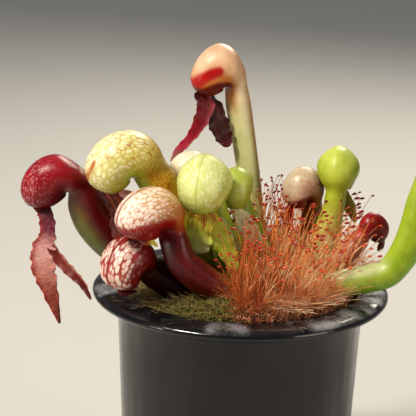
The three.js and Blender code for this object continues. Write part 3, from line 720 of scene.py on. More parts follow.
def tongue_lobe(p, lobe, number):
    """A thin blade through the lobe's points, with a rippled edge and a slight gutter."""
    lip_angle, lip = p["hood"][-1]
    stations = lobe["points"]
    if lobe["lip"]:
        anchor = p["notch"] + fan(p, lip_angle + 8) * (lip - 0.2)
        stations = np.vstack([[*anchor, stations[0, 3] * 0.7], stations])
    spine = stations[:, :3]
    length = np.linalg.norm(np.diff(spine, axis=0), axis=1).sum()
    share = np.linspace(0, 1, max(14, int(length / BLADE_SPACING)))
    blunt_end = np.sqrt(np.clip((1.03 - share) / 0.08, 0, 1))
    half = np.maximum(through(stations[:, 3:], share)[:, 0], THINNEST_HALF) * blunt_end
    t = np.linspace(0, 2 * math.pi, BLADE_SIDES, endpoint=False)
    thick = BLADE_HALF_THICKNESS * np.sin(t) * (1 - 0.35 * np.abs(np.cos(t)))
    rows = []
    for f, middle, wide in zip(share, through(spine, share), half):
        along = unit(through(spine, f + 0.02)[0] - through(spine, f - 0.02)[0])
        across = unit(np.cross(along, lobe["face"]))
        scallop = 1 + 0.07 * math.sin(f * length * RIPPLE) + 0.05 * math.sin(f * length * 2.3 + 1.0)
        wave = 0.11 * wide * np.cos(t) ** 2 * np.sin(f * length * RIPPLE + np.sign(np.cos(t)) * 0.9)
        gutter = 0.10 * wide * np.cos(t) ** 2
        rows.append(middle + np.outer(wide * scallop * np.cos(t), across)
                    + np.outer(wave + gutter + thick, np.cross(across, along)))
    return leaf_shell(np.array(rows), t, share, share * length, half, np.full(len(share), 0.5), number)


# %% [markdown]
# ## The pitchers' colours
# The broad colours of a leaf change slowly: green or cream near the root, red on the hood's
# underside, pale windows on the crown. On a few leaves they also hold painted light: a painted
# highlight on a crown or on the top of an arch, and painted shade down one side of a tube. They're
# worked out for each point from where it lies along and around the leaf, and stored on the mesh as
# its tint. The fine net of veins and the windows between them are drawn later by the material, as
# strong as the mesh says at that place.

# %% Colour plan of each pitcher
# back, flank and belly: colours from the root (0) over the neck (1) to the lip (2) and the mouth
# (3), on the outer, the side and the inner line. veins, windows, seam: how strong, over the same
# span. flank_share, belly_share: how much of veins and windows shows there. strokes: bands painted
# on both sides, as colour, half width, strength and the places ahead of and above the notch.
# tongues: colours from lip to tip of each lobe, with an edge colour, wrinkles with painted shade in
# their creases, and ribs.
LOOKS = {
    "tall_back": dict(
        slot="leaf_cream", cell=1,
        # up to the neck the back, the tube's right side, is painted darker olive-gold than the flanks and
        # belly: painted shade
        back="0 8A8A44, .4 B0A45C, .75 B89858, 1 CCA87C, 1.12 C8A07C, 1.35 DEC4A8, 1.65 E2CCB2, "
            "1.8 DCB498, 1.9 C23A34, 2 8C1216, 2.4 5A0C10, 3 3A0608",
        flank="0 A0AC58, .3 CCD290, .7 E4E4BC, .95 E8DCC0, 1.15 DCC4A4, 1.4 DCBE9E, 1.65 D6A886, "
            "1.8 C8402E, 2 8C1216, 3 3A0608",
        belly="0 A5AE60, .4 D0D49C, .8 D6D2A4, .93 C08A4A, 1.1 A0602C, 1.4 B86A34, 1.7 9A2018, 2 6A0F12, "
            "3 30060A",
        veins="0 .1, .9 .05, 1.5 .08, 2 .2, 3 .1", windows="0 .1, 1.2 .15, 1.6 .2, 1.8 0, 3 0",
        strokes=[("D8985A", 1.5, 0.9, "9.8 1.6, 7 3.9, 4 5.2, 1 4.8"),
                 ("C00C12", 1.8, 1, "12.4 -2.6, 13.4 .6, 12.2 2.6, 10 5, 7 7, 4.6 7.8"),
                 ("7A080C", 1.9, 1, "13 -1.2, 9.5 -.6, 7.4 .4, 3.8 1.6, .8 1.6")],
        tongues=[dict(tones="3E0A10 7A1028 A81440 C04468 CDB4AC", edge=("E08A98", -1, 0.5)),
                 dict(tones="30060A 420A0E 541014 64161A")]),
    "left_crimson": dict(
        slot="leaf_crimson", cell=0.8,
        back="0 5A1A18, .5 6A1418, .85 70121A, 1 8A1A24, 1.15 A42630, 1.4 B03040, 1.7 A82434, 1.9 8A1420, "
            "2 6E0A12, 3 2A0406",
        flank="0 6A2418, .5 6E1A1A, .9 7A141C, 1.2 A01C2C, 1.6 A01624, 1.9 860E18, 2 6E0A12, 3 2A0406",
        belly="0 6E6A2A, .3 7A8034, .75 84883A, .9 7A5A28, 1 7A1A1C, 1.5 8A101A, 2 5A0810, 3 2A0406",
        veins="0 .2, 1.1 .3, 1.8 .3, 2 .2, 3 0",
        windows="0 0, 1.35 0, 1.6 .42, 1.88 .45, 1.95 .1, 2 0, 3 0", seam="0 0, 1.1 .4, 2 .4",
        flank_share=(0.8, 0.6),
        strokes=[("E8CDB4", 1.3, 0.85, "-5.2 9.6, -6.8 10.4")],
        tongues=[dict(tones="5A1838 7A2E48 9A4A60 E4BCB8 ECC8C0 DCACA0 B87460 985040",
                      edge=("B8401F", 1, 0.7), wrinkle=0.9),
                 dict(tones="7A2A2A 9A4A42 7A2226 6A1A1E", edge=("D8A894", -1, 0.8))]),
    "veined": dict(
        slot="leaf_lime", cell=1.55,
        back="0 8A9440, .4 A8B444, .75 D4CC58, .9 D8BC48, 1.1 D8CC78, 1.35 E2E2AC, 1.6 E8E8C0, "
            "1.85 D4D488, 2 B4AC4C, 3 6A5A24",
        flank="0 8A9A3C, .5 A8B83C, .85 D8B43C, 1 D4B848, 1.25 D4D078, 1.6 D8D898, 1.9 C4C858, 2 A89C3C, "
            "3 6A5A24",
        belly="0 7E9434, .4 9CAC34, .8 AEBA38, 1.1 B8C244, 1.6 C0CC58, 2 B8A84A, 2.2 A0603A, 3 5A2A18",
        veins="0 .1, .5 .3, .75 .95, 1.05 1, 1.3 .8, 1.6 .55, 1.85 .7, 2 .2, 3 .2",
        windows="0 0, 1 .05, 1.2 .3, 1.4 .6, 1.8 .5, 2 .1, 3 0", belly_share=(0.2, 0.1),
        strokes=[("C07830", 0.4, 0.8, "16 -3.4, 16.6 2.4, 14.8 8")],
        tongues=[dict(tones="6A1416 7A1A1A 5E1014 7A2020", ribs=0.8),
                 dict(tones="D8A8A0 E4BEB6 C88A84")]),
    "front_red": dict(
        slot="leaf_red", cell=1.15,
        # the near-white crown on the back from 1.3 to 1.6 is partly the leaf's own pale windows and partly a
        # painted highlight
        back="0 9AA040, .32 A09A3E, .48 96502A, .65 66181A, .88 782A1C, .98 A8582C, 1.15 C89C54, "
            "1.3 D8C08A, 1.45 E6D6B2, 1.6 E4CCB4, 1.75 D09488, 1.88 A83038, 1.95 8C1820, 2 70101A, "
            "3 3A080C",
        flank="0 96963C, .32 965A2C, .52 6A1A18, .88 66141A, .98 A85028, 1.1 C08038, 1.3 CC9C5C, "
            "1.45 D8B48A, 1.6 DCAC94, 1.75 A83038, 1.9 8A1820, 2 6A0F18, 3 3A080C",
        belly="0 7A3A24, .35 6A1A18, .9 4E0C12, 1.2 8A1A1C, 1.6 901822, 2 6A0C16, 3 2E0508",
        veins="0 .3, .3 .7, .6 .4, 1 .8, 1.25 .85, 1.5 .6, 1.85 .7, 2 .3, 3 .1",
        windows="0 .2, .35 .3, .55 .05, 1 0, 1.12 .15, 1.3 .45, 1.42 .65, 1.54 .95, 1.8 .9, 1.92 .3, 2 0, "
            "3 0",
        seam="0 0, 1.2 0, 1.4 .7, 1.9 1, 2 .6", flank_share=(1, 0.8), belly_share=(0.6, 0.25),
        strokes=[("9A1418", 4.2, 0.95, "19 -1.8, 13 -.4, 8 1, 2 2.2"),
                 ("B02018", 1, 0.6, "17 2.6, 10 4.4, 4 5.2, -1 5")],
        tongues=[dict(tones="7A0F1A 8A1A1E D8D060 D0C850")]),
    "low_red": dict(
        slot="leaf_red", cell=1.5,
        back="0 5A3A22, .5 5A1418, .9 6A161A, 1.15 7E1E22, 1.4 A04038, 1.7 C47868, 1.85 B85850, "
            "1.95 7A1A20, 2 5A1018, 3 30070A",
        flank="0 5A3A22, .5 4E1014, .9 5A1218, 1.2 74141C, 1.5 8E1E26, 1.8 8A1A24, 2 5A0E16, 3 30070A",
        belly="0 4A2A1C, .6 3E0A0E, 1.2 64101A, 1.7 6A121C, 2 4A0C14, 3 20050A",
        veins="0 .3, .8 .3, 1.2 .5, 1.8 .8, 2 .4, 3 .1",
        windows="0 0, 1.3 0, 1.45 .75, 1.85 .85, 1.95 .3, 2 0, 3 0",
        seam="0 0, 1.2 .2, 1.4 1, 1.9 1, 2 .5", flank_share=(0.6, 0.3), belly_share=(0.2, 0.1),
        tongues=[dict(tones="7A1420 5E1018 4A0C12")]),
    "front_green": dict(
        slot="leaf_lime", cell=0.9,
        back="0 8FA23C, .4 A8BC48, .8 BCC860, 1 C4D070, 1.3 D8DE98, 1.6 E0E6AC, 1.85 CCD27C, 1.95 C8D06C, "
            "2 A8A848, 3 6A6A2A",
        flank="0 8FA23C, .5 A4B83C, 1 B8C850, 1.4 CCD47C, 1.8 C2C868, 2 A8A840, 3 6A6A2A",
        belly="0 8CA034, .5 9CB038, 1 A8B83C, 1.5 B0BC44, 2 A8743C, 3 6A3018",
        veins="0 0, 1.8 0, 2 .15, 3 .3", windows="0 .1, .95 .15, 1.2 .4, 1.5 .5, 1.9 .4, 2 0, 3 0",
        seam="0 0, .95 0, 1.1 .5, 1.95 .6, 2 0",
        tongues=[dict(tones="C8A040 CCCC50 D0DC74 DCE6A0 E4EABC", ribs=1),
                 dict(tones="C49C3C C8C84C C8D860 C4D860 BCD058", ribs=0.9)]),
    "cream_behind": dict(
        slot="leaf_cream", cell=0.9,
        back="0 93A050, .8 C0C47A, 1 DDD8B4, 1.4 EEE9D6, 1.8 EAE0C8, 1.93 C86A48, 2 A83A20, 3 5A1A10",
        flank="0 93A050, .8 C0C47A, 1 DCD2A8, 1.4 EBE4CC, 1.8 DDC0A0, 2 A83A20, 3 5A1A10",
        belly="0 93A050, .8 B4B45E, 1 C07A48, 1.5 C0562E, 2 B03A20, 3 4A140C",
        veins="0 .1, 1 .1, 1.6 .1, 2 .4, 3 .2", windows="0 .1, 1.4 .3, 2 0, 3 0",
        tongues=[dict(tones="B04028 C8703C B0552E")]),
    "small_green": dict(
        slot="leaf_lime", cell=1.2,
        back="0 93A845, .5 A6BC3C, 1 B0C44A, 1.3 BCC864, 1.6 C8D080, 1.9 B8C45C, 2 A9B752, 3 6A7028",
        flank="0 93A845, .5 98B42C, 1 9CAC28, 1.4 A4B02C, 1.8 A0AC28, 2 A0A842, 3 6A7028",
        belly="0 90A63C, .6 98B034, 1.4 A0B43C, 2 A07A3C, 3 5A4220",
        veins="0 0, 2 .1, 3 .2", windows="0 .1, 1.2 .15, 1.6 .2, 2 0, 3 0",
        seam="0 0, 1.1 .3, 1.9 .3, 2 0",
        tongues=[dict(tones="B8C868 DEE3BC E8EBD6 DCE2B8 C4CE84", ribs=0.15, windows=0.6)]),
    "small_cream": dict(
        slot="leaf_cream", cell=0.9,
        back="0 8E9A48, .7 B9B46A, 1 CDB090, 1.25 D4C4A8, 1.6 DCD0B8, 1.8 CCA48C, 1.95 A83A2C, 2 8A1E18, "
            "3 3E0C0C",
        flank="0 8E9A48, .7 B0A05C, 1 B8886A, 1.3 C8A894, 1.6 D8BCAC, 1.8 A83A34, 2 7A1416, 3 3E0C0C",
        belly="0 8E9A48, .8 A8703C, 1.1 8A3A24, 1.6 8A1E1A, 2 7A1416, 3 30080A",
        veins="0 .2, 1 .6, 1.5 .3, 2 .4, 3 .1", windows="0 .1, 1.2 .4, 2 0, 3 0",
        strokes=[("7A1014", 1.3, 0.9, "7.4 -.6, 4.6 1.6, 1.4 2.4")],
        tongues=[dict(tones="9A2418 B04A2C A03A22")]),
    "upright_green": dict(
        slot="leaf_lime", cell=1.3,
        back="0 9CA244, .4 D0CE88, .7 CCCC6C, .9 C0C84C, 1.1 C6D058, 1.35 D6DE80, 1.6 E2E8B0, 1.8 C0CC50, "
            "2 8C8A30, 3 4A4018",
        flank="0 9CA244, .4 C4C468, .8 B8C244, 1.1 B8C43C, 1.5 C4D052, 1.8 B4C038, 2 8C7A30, 3 4A4018",
        belly="0 8E9A40, .5 A4B048, .9 98A838, 1.3 98B02E, 2 9A5A2A, 3 5A2A14",
        veins="0 .3, .5 .2, .8 0, 2 .1, 3 .2", windows="0 .2, .5 .4, .8 .1, 1.5 .15, 2 0, 3 0",
        seam="0 0, 1 .15, 1.6 .2, 2 0",
        tongues=[dict(tones="A8803A 98983A 8A8A34"),
                 dict(tones="A06A34 98943A")]),
    "bud_red": dict(
        slot="leaf_crimson", cell=0.9,
        back="0 B8A468, .3 DCB894, .6 E0AC98, .9 D08070, 1.05 C04440, 1.2 B02028, 2 5A0A10, 3 30060A",
        flank="0 A8945A, .4 D0A080, .8 CC8A78, .98 BC4C46, 1.15 A81C24, 2 5A0A10, 3 30060A",
        belly="0 9A8A50, .5 B87C60, .9 B05A50, 1.2 86141C, 2 5A0A10, 3 30060A",
        veins="0 .2, .8 .3, 1.2 .2, 2 .2, 3 0", windows="0 .1, .8 .3, 1.2 0, 3 0",
        tongues=[dict(tones="6A0E14 5A0A10")]),
    "right_arched": dict(
        slot="leaf_lime", cell=1.5,
        # the pale cream on the back from .12 to .4, the upper side of the low arch, is a painted highlight
        back="0 8FA436, .12 B8C46A, .25 DEE3BC, .4 E0E5B8, .5 B8CC50, .7 B4C84C, .9 C4CC70, 1.2 CCD084, "
            "1.7 B4B050, 1.9 9A3A28, 2 8A2420, 3 4A120E",
        flank="0 8CA036, .3 B8C868, .48 A8BC34, .9 B0BC44, 1.3 B8BC58, 1.7 A8982E, 2 8A2420, 3 4A120E",
        belly="0 7C9430, .3 8AAA20, .6 8CB016, .9 94B41C, 1.4 A0882E, 2 8E2A20, 3 3A0E0C",
        veins="0 0, .9 0, 1.5 .4, 2 .5, 3 .1", windows="0 .1, .4 .15, .6 .05, 1.3 .25, 1.8 .15, 2 0, 3 0",
        tongues=[dict(tones="7A1416 9A2A2C B0484A 8A2A2A", ribs=0.5),
                 dict(tones="84181A 701416")]),
}
print(len(LOOKS), "colour plans")

# %% Tint every point
LEAF_DEPTH = 1.42         # the plan's colours are read in strong light, and the bare skin is deeper
SKIN_CELL = (1.2, 1, 1)   # a vein cell is a little longer than wide
BACK_BAND = (0.15, 0.9)   # how far up round the leaf the back's colours fade in
BELLY_BAND = (0.1, 0.85)  # how far down round it the belly's do
STROKE_SPAN = (0.6, 2.05)  # the part of the leaf that strokes may cover


def rgb(code):
    return np.array(paint(code)[:3])


def blend(places, codes, share):
    """Colours between coloured places."""
    channels = np.array([rgb(code) for code in codes]).T
    return np.stack([np.interp(share, places, channel) for channel in channels], axis=1)


def blend_stops(stops, share):
    places, codes = zip(*(stop.split() for stop in stops.split(",")))
    return blend([float(place) for place in places], codes, share)


def soft_step(value, low, high):
    f = np.clip((value - low) / (high - low), 0, 1)
    return f * f * (3 - 2 * f)


def far_from_line(points, line):
    """Each point's distance to the broken line through the line's points, in a plane."""
    nearest = np.full(len(points), 1e9)
    for a, b in zip(line[:-1], line[1:]):
        f = np.clip((points - a) @ (b - a) / ((b - a) @ (b - a)), 0, 1)
        nearest = np.minimum(nearest, np.linalg.norm(points - a - f[:, None] * (b - a), axis=1))
    return nearest


def tinted(look, p, told):
    """What the skin shows at each point, from what the point is told: its colour, its place on the
    skin in vein cells, and how strong each marking is."""
    along, top, left, lobe = (told[m][:, 0] for m in ("along", "top", "left", "lobe"))
    on_back, on_belly = soft_step(top, *BACK_BAND), soft_step(-top, *BELLY_BAND)
    sides = {"back": on_back, "flank": 1 - on_back - on_belly, "belly": on_belly}
    colour = sum(blend_stops(look[side], along) * w[:, None] for side, w in sides.items())
    shares = [(1, 1), look.get("flank_share", (1, 0.8)), look.get("belly_share", (0.6, 0.2))]
    marks = {}
    for k, label in enumerate(("veins", "windows")):
        share = sum(w * f[k] for w, f in zip(sides.values(), shares))
        marks[label] = np.interp(along, *table(look[label]).T) * share
    marks["seam"] = np.interp(along, *table(look.get("seam", "0 0")).T) * (top > 0)
    marks["wrinkle"], marks["ribs"] = np.zeros(len(along)), np.zeros(len(along))
    from_notch = told["points"] - p["notch"]
    in_plane = np.stack([from_notch @ fan(p, 0), from_notch[:, 2]], axis=1)
    on_hood = (lobe == 0) * (along > STROKE_SPAN[0]) * (along < STROKE_SPAN[1])
    for code, half_width, strength, line in look.get("strokes", ()):
        far = far_from_line(in_plane, table(line))
        w = strength * soft_step(-far, -half_width * 1.5, -half_width * 0.6) * on_hood
        colour = colour * (1 - w[:, None]) + rgb(code) * w[:, None]
        marks["windows"] *= 1 - 0.75 * w
    for k, tongue in enumerate(look["tongues"]):
        mine, tones = lobe == k + 1, tongue["tones"].split()
        code, side, strength = tongue.get("edge", ("000000", 1, 0))
        w = (strength * soft_step(side * top[mine], 0.35, 0.95))[:, None]
        tone = blend(np.linspace(0, 1, len(tones)), tones, along[mine])
        colour[mine] = tone * (1 - w) + rgb(code) * w
        ribs = tongue.get("ribs", 0.25) * (1 - 0.8 * soft_step(along[mine], 0.3, 0.8))
        for label, value in (("veins", 0.12), ("windows", tongue.get("windows", 0.05)), ("seam", 0),
                             ("wrinkle", tongue.get("wrinkle", 0.15)), ("ribs", ribs)):
            marks[label][mine] = value
    marks["across"] = np.where(lobe > 0, 1.0, left)
    return np.insert(colour ** LEAF_DEPTH, 3, 1, axis=1), told["skin"] / look["cell"] / SKIN_CELL, marks


# %% [markdown]
# ## Leaf skin
# The skin is waxy and thin. Light passes a little way in, so it has some subsurface scatter. A net
# of red veins covers it, drawn as the borders of Voronoi cells on the unrolled skin, with a finer
# net between. The cells themselves turn pale where the leaf has its windows. The net is one group,
# and the four leaf materials give it their own colours and widths.

# %% Vein net group
net_group, plan, given = new_group("vein_net", "ShaderNodeTree", {
    "Skin": "Vector", "Vein width": 0.1, "Wander": 0.35, "Open": 0.5, "Dull cells": 0.4},
    ["Veins", "Fine veins", "Windows"])
skin, width, how_open, dull = (given[label] for label in ("Skin", "Vein width", "Open", "Dull cells"))
swung = plan.vector("MULTIPLY_ADD", plan.noise(skin, 0.9, 2.0)["Color"], given["Wander"], skin)
edge, fine = (plan.shade("TexVoronoi", {"Vector": swung, "Scale": scale}, feature="DISTANCE_TO_EDGE")
              for scale in (1.0, 2.3))
cell = plan.shade("TexVoronoi", {"Vector": swung, "Scale": 1.0})
chance = plan.shade("SeparateColor", {0: cell["Color"]})["Red"]
strong = plan.ramp(plan.noise(skin, 0.35, 2.0), 0.35, 0.6, 0.45, 1.0)
# a window is round, and grows until it nearly touches the next
pane = plan.ramp(cell["Distance"], how_open * 0.5 + 0.32, how_open * 0.42 + 0.12)
lit = plan.ramp(chance, dull - 0.5, dull + 0.3, 0.3, 1.0)
plan.give({"Veins": strong * (1.0 - plan.ramp(edge, 0.0, width * 1.5)),
           "Fine veins": 1.0 - plan.ramp(fine, width * 0.25, width * 1.3),
           "Windows": pane * lit * plan.ramp(how_open, 0.0, 0.9)})

# %% Streak group
streak_group, plan, given = new_group("streaks", "ShaderNodeTree", {
    "Skin": "Vector", "Along": 1.0, "Across": 1.0}, ["Streaks", "Lines"])
stretch = plan.xyz(given["Along"], given["Across"], given["Across"])
streaks = plan.noise(plan.vector("MULTIPLY", given["Skin"], stretch), 1.0, 2.0)
plan.give({"Streaks": plan.ramp(streaks, 0.4, 0.62), "Lines": plan.ramp(streaks, 0.55, 0.66)})


# %% Leaf materials
def leaf_skin(name, vein, window, seam, vein_width, dull, scatter):
    material, plan = new_material(name)
    skin, tint, place = plan.attribute("skin", "Vector"), plan.attribute("tint", "Color"), plan.place()
    net = plan.shade("Group", {"Skin": skin, "Open": plan.attribute("windows"), "Vein width": vein_width,
                               "Dull cells": dull}, node_tree=net_group)
    wrinkles, ribs = (plan.shade("Group", {"Skin": skin, "Along": along, "Across": across},
                                 node_tree=streak_group) for along, across in ((2.6, 0.5), (0.12, 1.7)))
    deep = plan.mix(1.0, tint, tint, "MULTIPLY")
    shade = plan.mix(plan.ramp(plan.noise(place, 260.0, 4.0), 0.35, 0.8, 0.0, 0.4), tint, deep)
    pale = plan.mix(net["Windows"] * 0.9, shade, window)
    lines = plan.math("MAXIMUM", net["Veins"], net["Fine veins"] * 0.25) * plan.attribute("veins")
    inked = plan.mix(lines, pale, vein)
    middle = plan.ramp(plan.math("ABSOLUTE", plan.attribute("across")), 0.10, 0.02)
    ridged = plan.mix(middle * plan.attribute("seam"), inked, seam)
    ribbed = ribs["Lines"] * plan.attribute("ribs")
    # the tongues' creases are bumped in, and their colour is darkened towards the deep tint: painted shade in
    # the folds
    crease_depth_and_shade = wrinkles["Streaks"] * plan.attribute("wrinkle")
    plan.give({
        "Base Color": plan.mix(crease_depth_and_shade * 0.65, plan.mix(ribbed, ridged, vein), deep),
        "Roughness": plan.ramp(plan.noise(place, 180.0, 3.0), 0.3, 0.7, 0.28, 0.42),
        "Normal": plan.bump(0.4, 0.22, net["Windows"] - (crease_depth_and_shade + ribbed) * 1.6),
        "Subsurface Weight": scatter, "Subsurface Radius": (1.0, 0.6, 0.3),
        "Subsurface Scale": 1.2 * MM, "Specular IOR Level": 0.3})
    return material


LEAF_SKINS = {
    "leaf_cream": leaf_skin("cream_leaf", "9A3420", "F8F2E4", "B08A50", 0.07, 0.5, 0.15),
    "leaf_lime": leaf_skin("lime_leaf", "A0401C", "F4F2D4", "9CA63C", 0.065, 0.4, 0.15),
    "leaf_red": leaf_skin("red_leaf", "8E1A1A", "F6E6D6", "7A0D18", 0.075, 0.2, 0.1),
    "leaf_crimson": leaf_skin("crimson_leaf", "6A0810", "DC98A0", "5A0810", 0.09, 0.45, 0.08),
}
print(len(LEAF_SKINS), "leaf materials")


# %% Make the pitchers
def pitcher_mesh(name, look, p):
    lobes = [tongue_lobe(p, lobe, number) for number, lobe in enumerate(p["lobes"], 1)]
    faces, told = joined([pitcher_body(p), *lobes])
    tint, skin, marks = tinted(look, p, told)
    mesh = new_mesh(name, told["points"], faces)
    shown = [(label, "FLOAT", "value", values) for label, values in marks.items()]
    shown += [("tint", "FLOAT_COLOR", "color", tint), ("skin", "FLOAT_VECTOR", "vector", skin)]
    for label, kind, field, values in shown:
        made = mesh.attributes.new(label, kind, "POINT")
        made.data.foreach_set(field, values.astype(np.float32).ravel())
    mesh.shade_smooth()
    return mesh


leaves = []
for name, look in LOOKS.items():
    leaf_name = "pitcher_" + name + "_leaf"
    leaf = link(leaf_name, pitcher_mesh(leaf_name, look, PITCHERS[name]))
    leaf.data.materials.append(LEAF_SKINS[look["slot"]])
    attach(leaf, "root")
    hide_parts("pitcher_" + name)
    leaves.append(leaf)
    print(leaf.name, len(leaf.data.polygons), "faces")


# %% [markdown]
# ## The moss cushion
# The moss fills the pot's mouth as a lumpy mound, low on the left and highest right of the middle.
# It is two pieces, because the left part is plain green moss and the right one is old, red and
# fruiting. The mound itself is a height rule over the pot's mouth. Its fur of shoots comes next.

# %% Height of the cushion
MOSS_RADIUS = 42.9
MOSS_EDGE_HEIGHT = 6.6
MOSS_CROWN_HEIGHT = 10.5
MOSS_SPLIT_X = -2
MOSS_BOTTOM = 88.8


def moss_height(x, y):
    edge = np.sqrt(np.clip(1 - (x * x + y * y) / MOSS_RADIUS ** 2, 0, 1))
    lumps = 0.9 * np.sin(x * 0.31 + 1.2) * np.cos(y * 0.27) + 0.6 * np.sin(x * 0.6 - y * 0.5)
    rise = soft_step(x, -30, 6)
    height = MOSS_EDGE_HEIGHT * (0.35 + 0.65 * rise) + (
        MOSS_CROWN_HEIGHT - MOSS_EDGE_HEIGHT) * edge * rise + lumps * edge
    near_wall = soft_step(np.hypot(x, y), MOSS_RADIUS * 0.96, MOSS_RADIUS)
    return height * (1 - 0.28 * near_wall)


def split_line(y, sign):
    return MOSS_SPLIT_X + 2.4 * math.sin(y * 0.3) + 1.2 * math.sin(y * 0.83 + 1) + sign * 0.15


def cushion_mesh(name, sign):
    """One half of the mound: strips from the split line out to the pot's wall, closed below."""
    strips, steps = 90, 46
    top = []
    for y in MOSS_RADIUS * np.sin(np.linspace(-1, 1, strips) * math.pi / 2 * 0.985):
        start, end = split_line(y, sign), sign * math.sqrt(max(MOSS_RADIUS ** 2 - y * y, 1.0))
        if (end - start) * sign < 0.5:
            start = end - sign * 0.5
        top.append([(x, y) for x in np.linspace(start, end, steps)])
    top = np.array(top)
    fuzz = np.array([[noise.noise((x * 0.8, y * 0.8, 3.0)) * 0.35 for x, y in row] for row in top])
    z = MOSS_BOTTOM + moss_height(top[..., 0], top[..., 1]) + fuzz
    upper, lower = np.dstack([top, z]), np.dstack([top * 0.985, np.full(z.shape, MOSS_BOTTOM)])
    below = strips * steps
    n = np.arange(below).reshape(strips, steps)
    faces = []
    for quad in np.stack([n[:-1, :-1], n[:-1, 1:], n[1:, 1:], n[1:, :-1]], axis=2).reshape(-1, 4).tolist():
        faces += [quad, [below + v for v in reversed(quad)]]
    rim = np.concatenate([n[:, 0], n[-1, 1:], n[-2::-1, -1], n[0, -2:0:-1]]).tolist()
    faces += [(a, b, below + b, below + a) for a, b in zip(rim, rim[1:] + rim[:1])]
    mesh = new_mesh(name, np.vstack([upper.reshape(-1, 3), lower.reshape(-1, 3)]), faces)
    mesh.shade_smooth()
    face_out(mesh)
    return mesh


# %% [markdown]
# ## Moss shoots
# A moss shoot is a short stem with narrow pointed leaves all round, two millimetres tall. Thousands
# of them make the cushion's fur. A hair system could do it, but hair has no leaves. So one star of
# leaves with few faces is made here, and a node tree scatters it over the mound with a fixed seed,
# leaning and turned at random and away from the pitchers' tubes.


# %% One shoot
def shoot_mesh(leaves_around, tiers, leaf, rise):
    """Narrow two-sided leaves round a stem; tip is 0 at a leaf's root and 1 at its point."""
    points, faces = [], []
    for tier in range(tiers):
        for k in range(leaves_around):
            turn = math.tau * (k + 0.5 * tier) / leaves_around + 0.4 * tier
            out = Vector((math.cos(turn), math.sin(turn), 0))
            wide = Vector((-math.sin(turn), math.cos(turn), 0)) * leaf * 0.17
            root = Vector((0, 0, rise * tier))
            bend = 0.35 + 0.5 * tier
            middle = root + out * leaf * 0.55 + Vector((0, 0, leaf * 0.3 * bend))
            end = root + out * leaf * 0.95 + Vector((0, 0, leaf * 0.75 * bend))
            faces.append([len(points) + corner for corner in range(4)])
            points += [root, middle + wide, end, middle - wide]
    mesh = new_mesh("moss_shoot", points, faces, 1.0)
    tips = [0.0, 0.5, 1.0, 0.5] * len(faces)
    mesh.attributes.new("tip", "FLOAT", "POINT").data.foreach_set("value", tips)
    return mesh


shoot = link("moss_shoot", shoot_mesh(5, 3, 1.5 * MM, 0.55 * MM))
print("one shoot:", len(shoot.data.polygons), "leaves")

# %% Tree that scatters shoots
SHOOT_CLEARANCE = 0.8 * MM
THINNING_SPAN = 16 * MM   # over this width the shoots thin out to none
shoot_tree, plan, given = new_group("scatter_shoots", "GeometryNodeTree", {
    "Cushion": "Geometry", "Shoot": "Object", "Keep clear of": "Object", "Spacing": 1.1 * MM,
    "Smallest": 0.6, "Largest": 1.3, "Thinning from x": -1.0, "Seed": 5, "Shoot moss": "Material"}, ["Fur"])
facing = plan.split(plan.geo("InputNormal"))["Z"]
dots = plan.geo("DistributePointsOnFaces", {
    "Mesh": given["Cushion"], "Selection": facing > 0.35, "Distance Min": given["Spacing"],
    "Density Max": 2.5e6, "Seed": given["Seed"]}, distribute_method="POISSON")
here, edge = plan.geo("InputPosition"), given["Thinning from x"]
crowded = plan.distance(given["Keep clear of"], here) < SHOOT_CLEARANCE
bare = plan.ramp(plan.split(here)["X"], edge - THINNING_SPAN, edge) < plan.random(3)
kept = plan.without(dots, plan.math("MAXIMUM", crowded, bare))
placed = plan.geo("InstanceOnPoints", {
    "Points": plan.store(kept, "tone", plan.random(8)), "Instance": plan.shape_of(given["Shoot"]),
    "Rotation": plan.random(21, (-0.5, -0.5, 0.0), (0.5, 0.5, math.tau)),
    "Scale": plan.random(13, given["Smallest"], given["Largest"])})
plan.give({"Fur": plan.coated(placed, given["Shoot moss"])})

# %% [markdown]
# ## Stalks with capsules
# Fruiting moss sends up thin wiry stalks, each with a nodding capsule at the tip. They follow a
# rule: a root on the mound, a random lean, a random height, and none may run into a pitcher. So the
# tree bends a short line between root and tip, gives it thickness, and sets a small pear on it.

# %% Tree that grows stalks and capsules
FREE_EDGE = 1.5           # millimetres along the pot's wall where no stalk stands
STALK_BEND = 1.8          # the higher, the later a stalk leaves the upright
stalk_tree, plan, given = new_group("grow_stalks", "GeometryNodeTree", {
    "Cushion": "Geometry", "Keep clear of": "Object", "Density": 1.0e6, "Shortest": 6 * MM,
    "Tallest": 24 * MM, "Lean": 6 * MM, "Splay": 0.15, "Clearance": 0.4 * MM, "Points a stalk": 6,
    "Stalk radius": 0.14 * MM, "Capsule radius": 0.45 * MM, "Capsule share": 0.8, "Seed": 11,
    "Stalk skin": "Material", "Capsule skin": "Material"}, ["Stalks"])
here = plan.geo("InputPosition")
flat = plan.xyz(plan.split(here)["X"], plan.split(here)["Y"])
inside = plan.vector("LENGTH", flat) < (MOSS_RADIUS - FREE_EDGE) * MM
facing = plan.split(plan.geo("InputNormal"))["Z"]
points = plan.geo("DistributePointsOnFaces", {
    "Mesh": given["Cushion"], "Selection": inside * (facing > 0.4),
    "Density": given["Density"], "Seed": given["Seed"]}, distribute_method="RANDOM")
draw = plan.random(4)
height = plan.math("MULTIPLY_ADD", draw * plan.math("MULTIPLY_ADD", plan.random(6), 0.3, 0.7),
                   given["Tallest"] - given["Shortest"], given["Shortest"])
swayed = plan.vector("SCALE", plan.random(9, (-1.0, -1.0, 0.0), (1.0, 1.0, 0.0)), given["Lean"])
lean = plan.vector("ADD", swayed, plan.vector("SCALE", flat, given["Splay"]))
for label, kind, value in (("root", "FLOAT_VECTOR", here), ("lean", "FLOAT_VECTOR", lean),
                           ("height", "FLOAT", height), ("tone", "FLOAT", draw)):
    points = plan.store(points, label, value, kind)


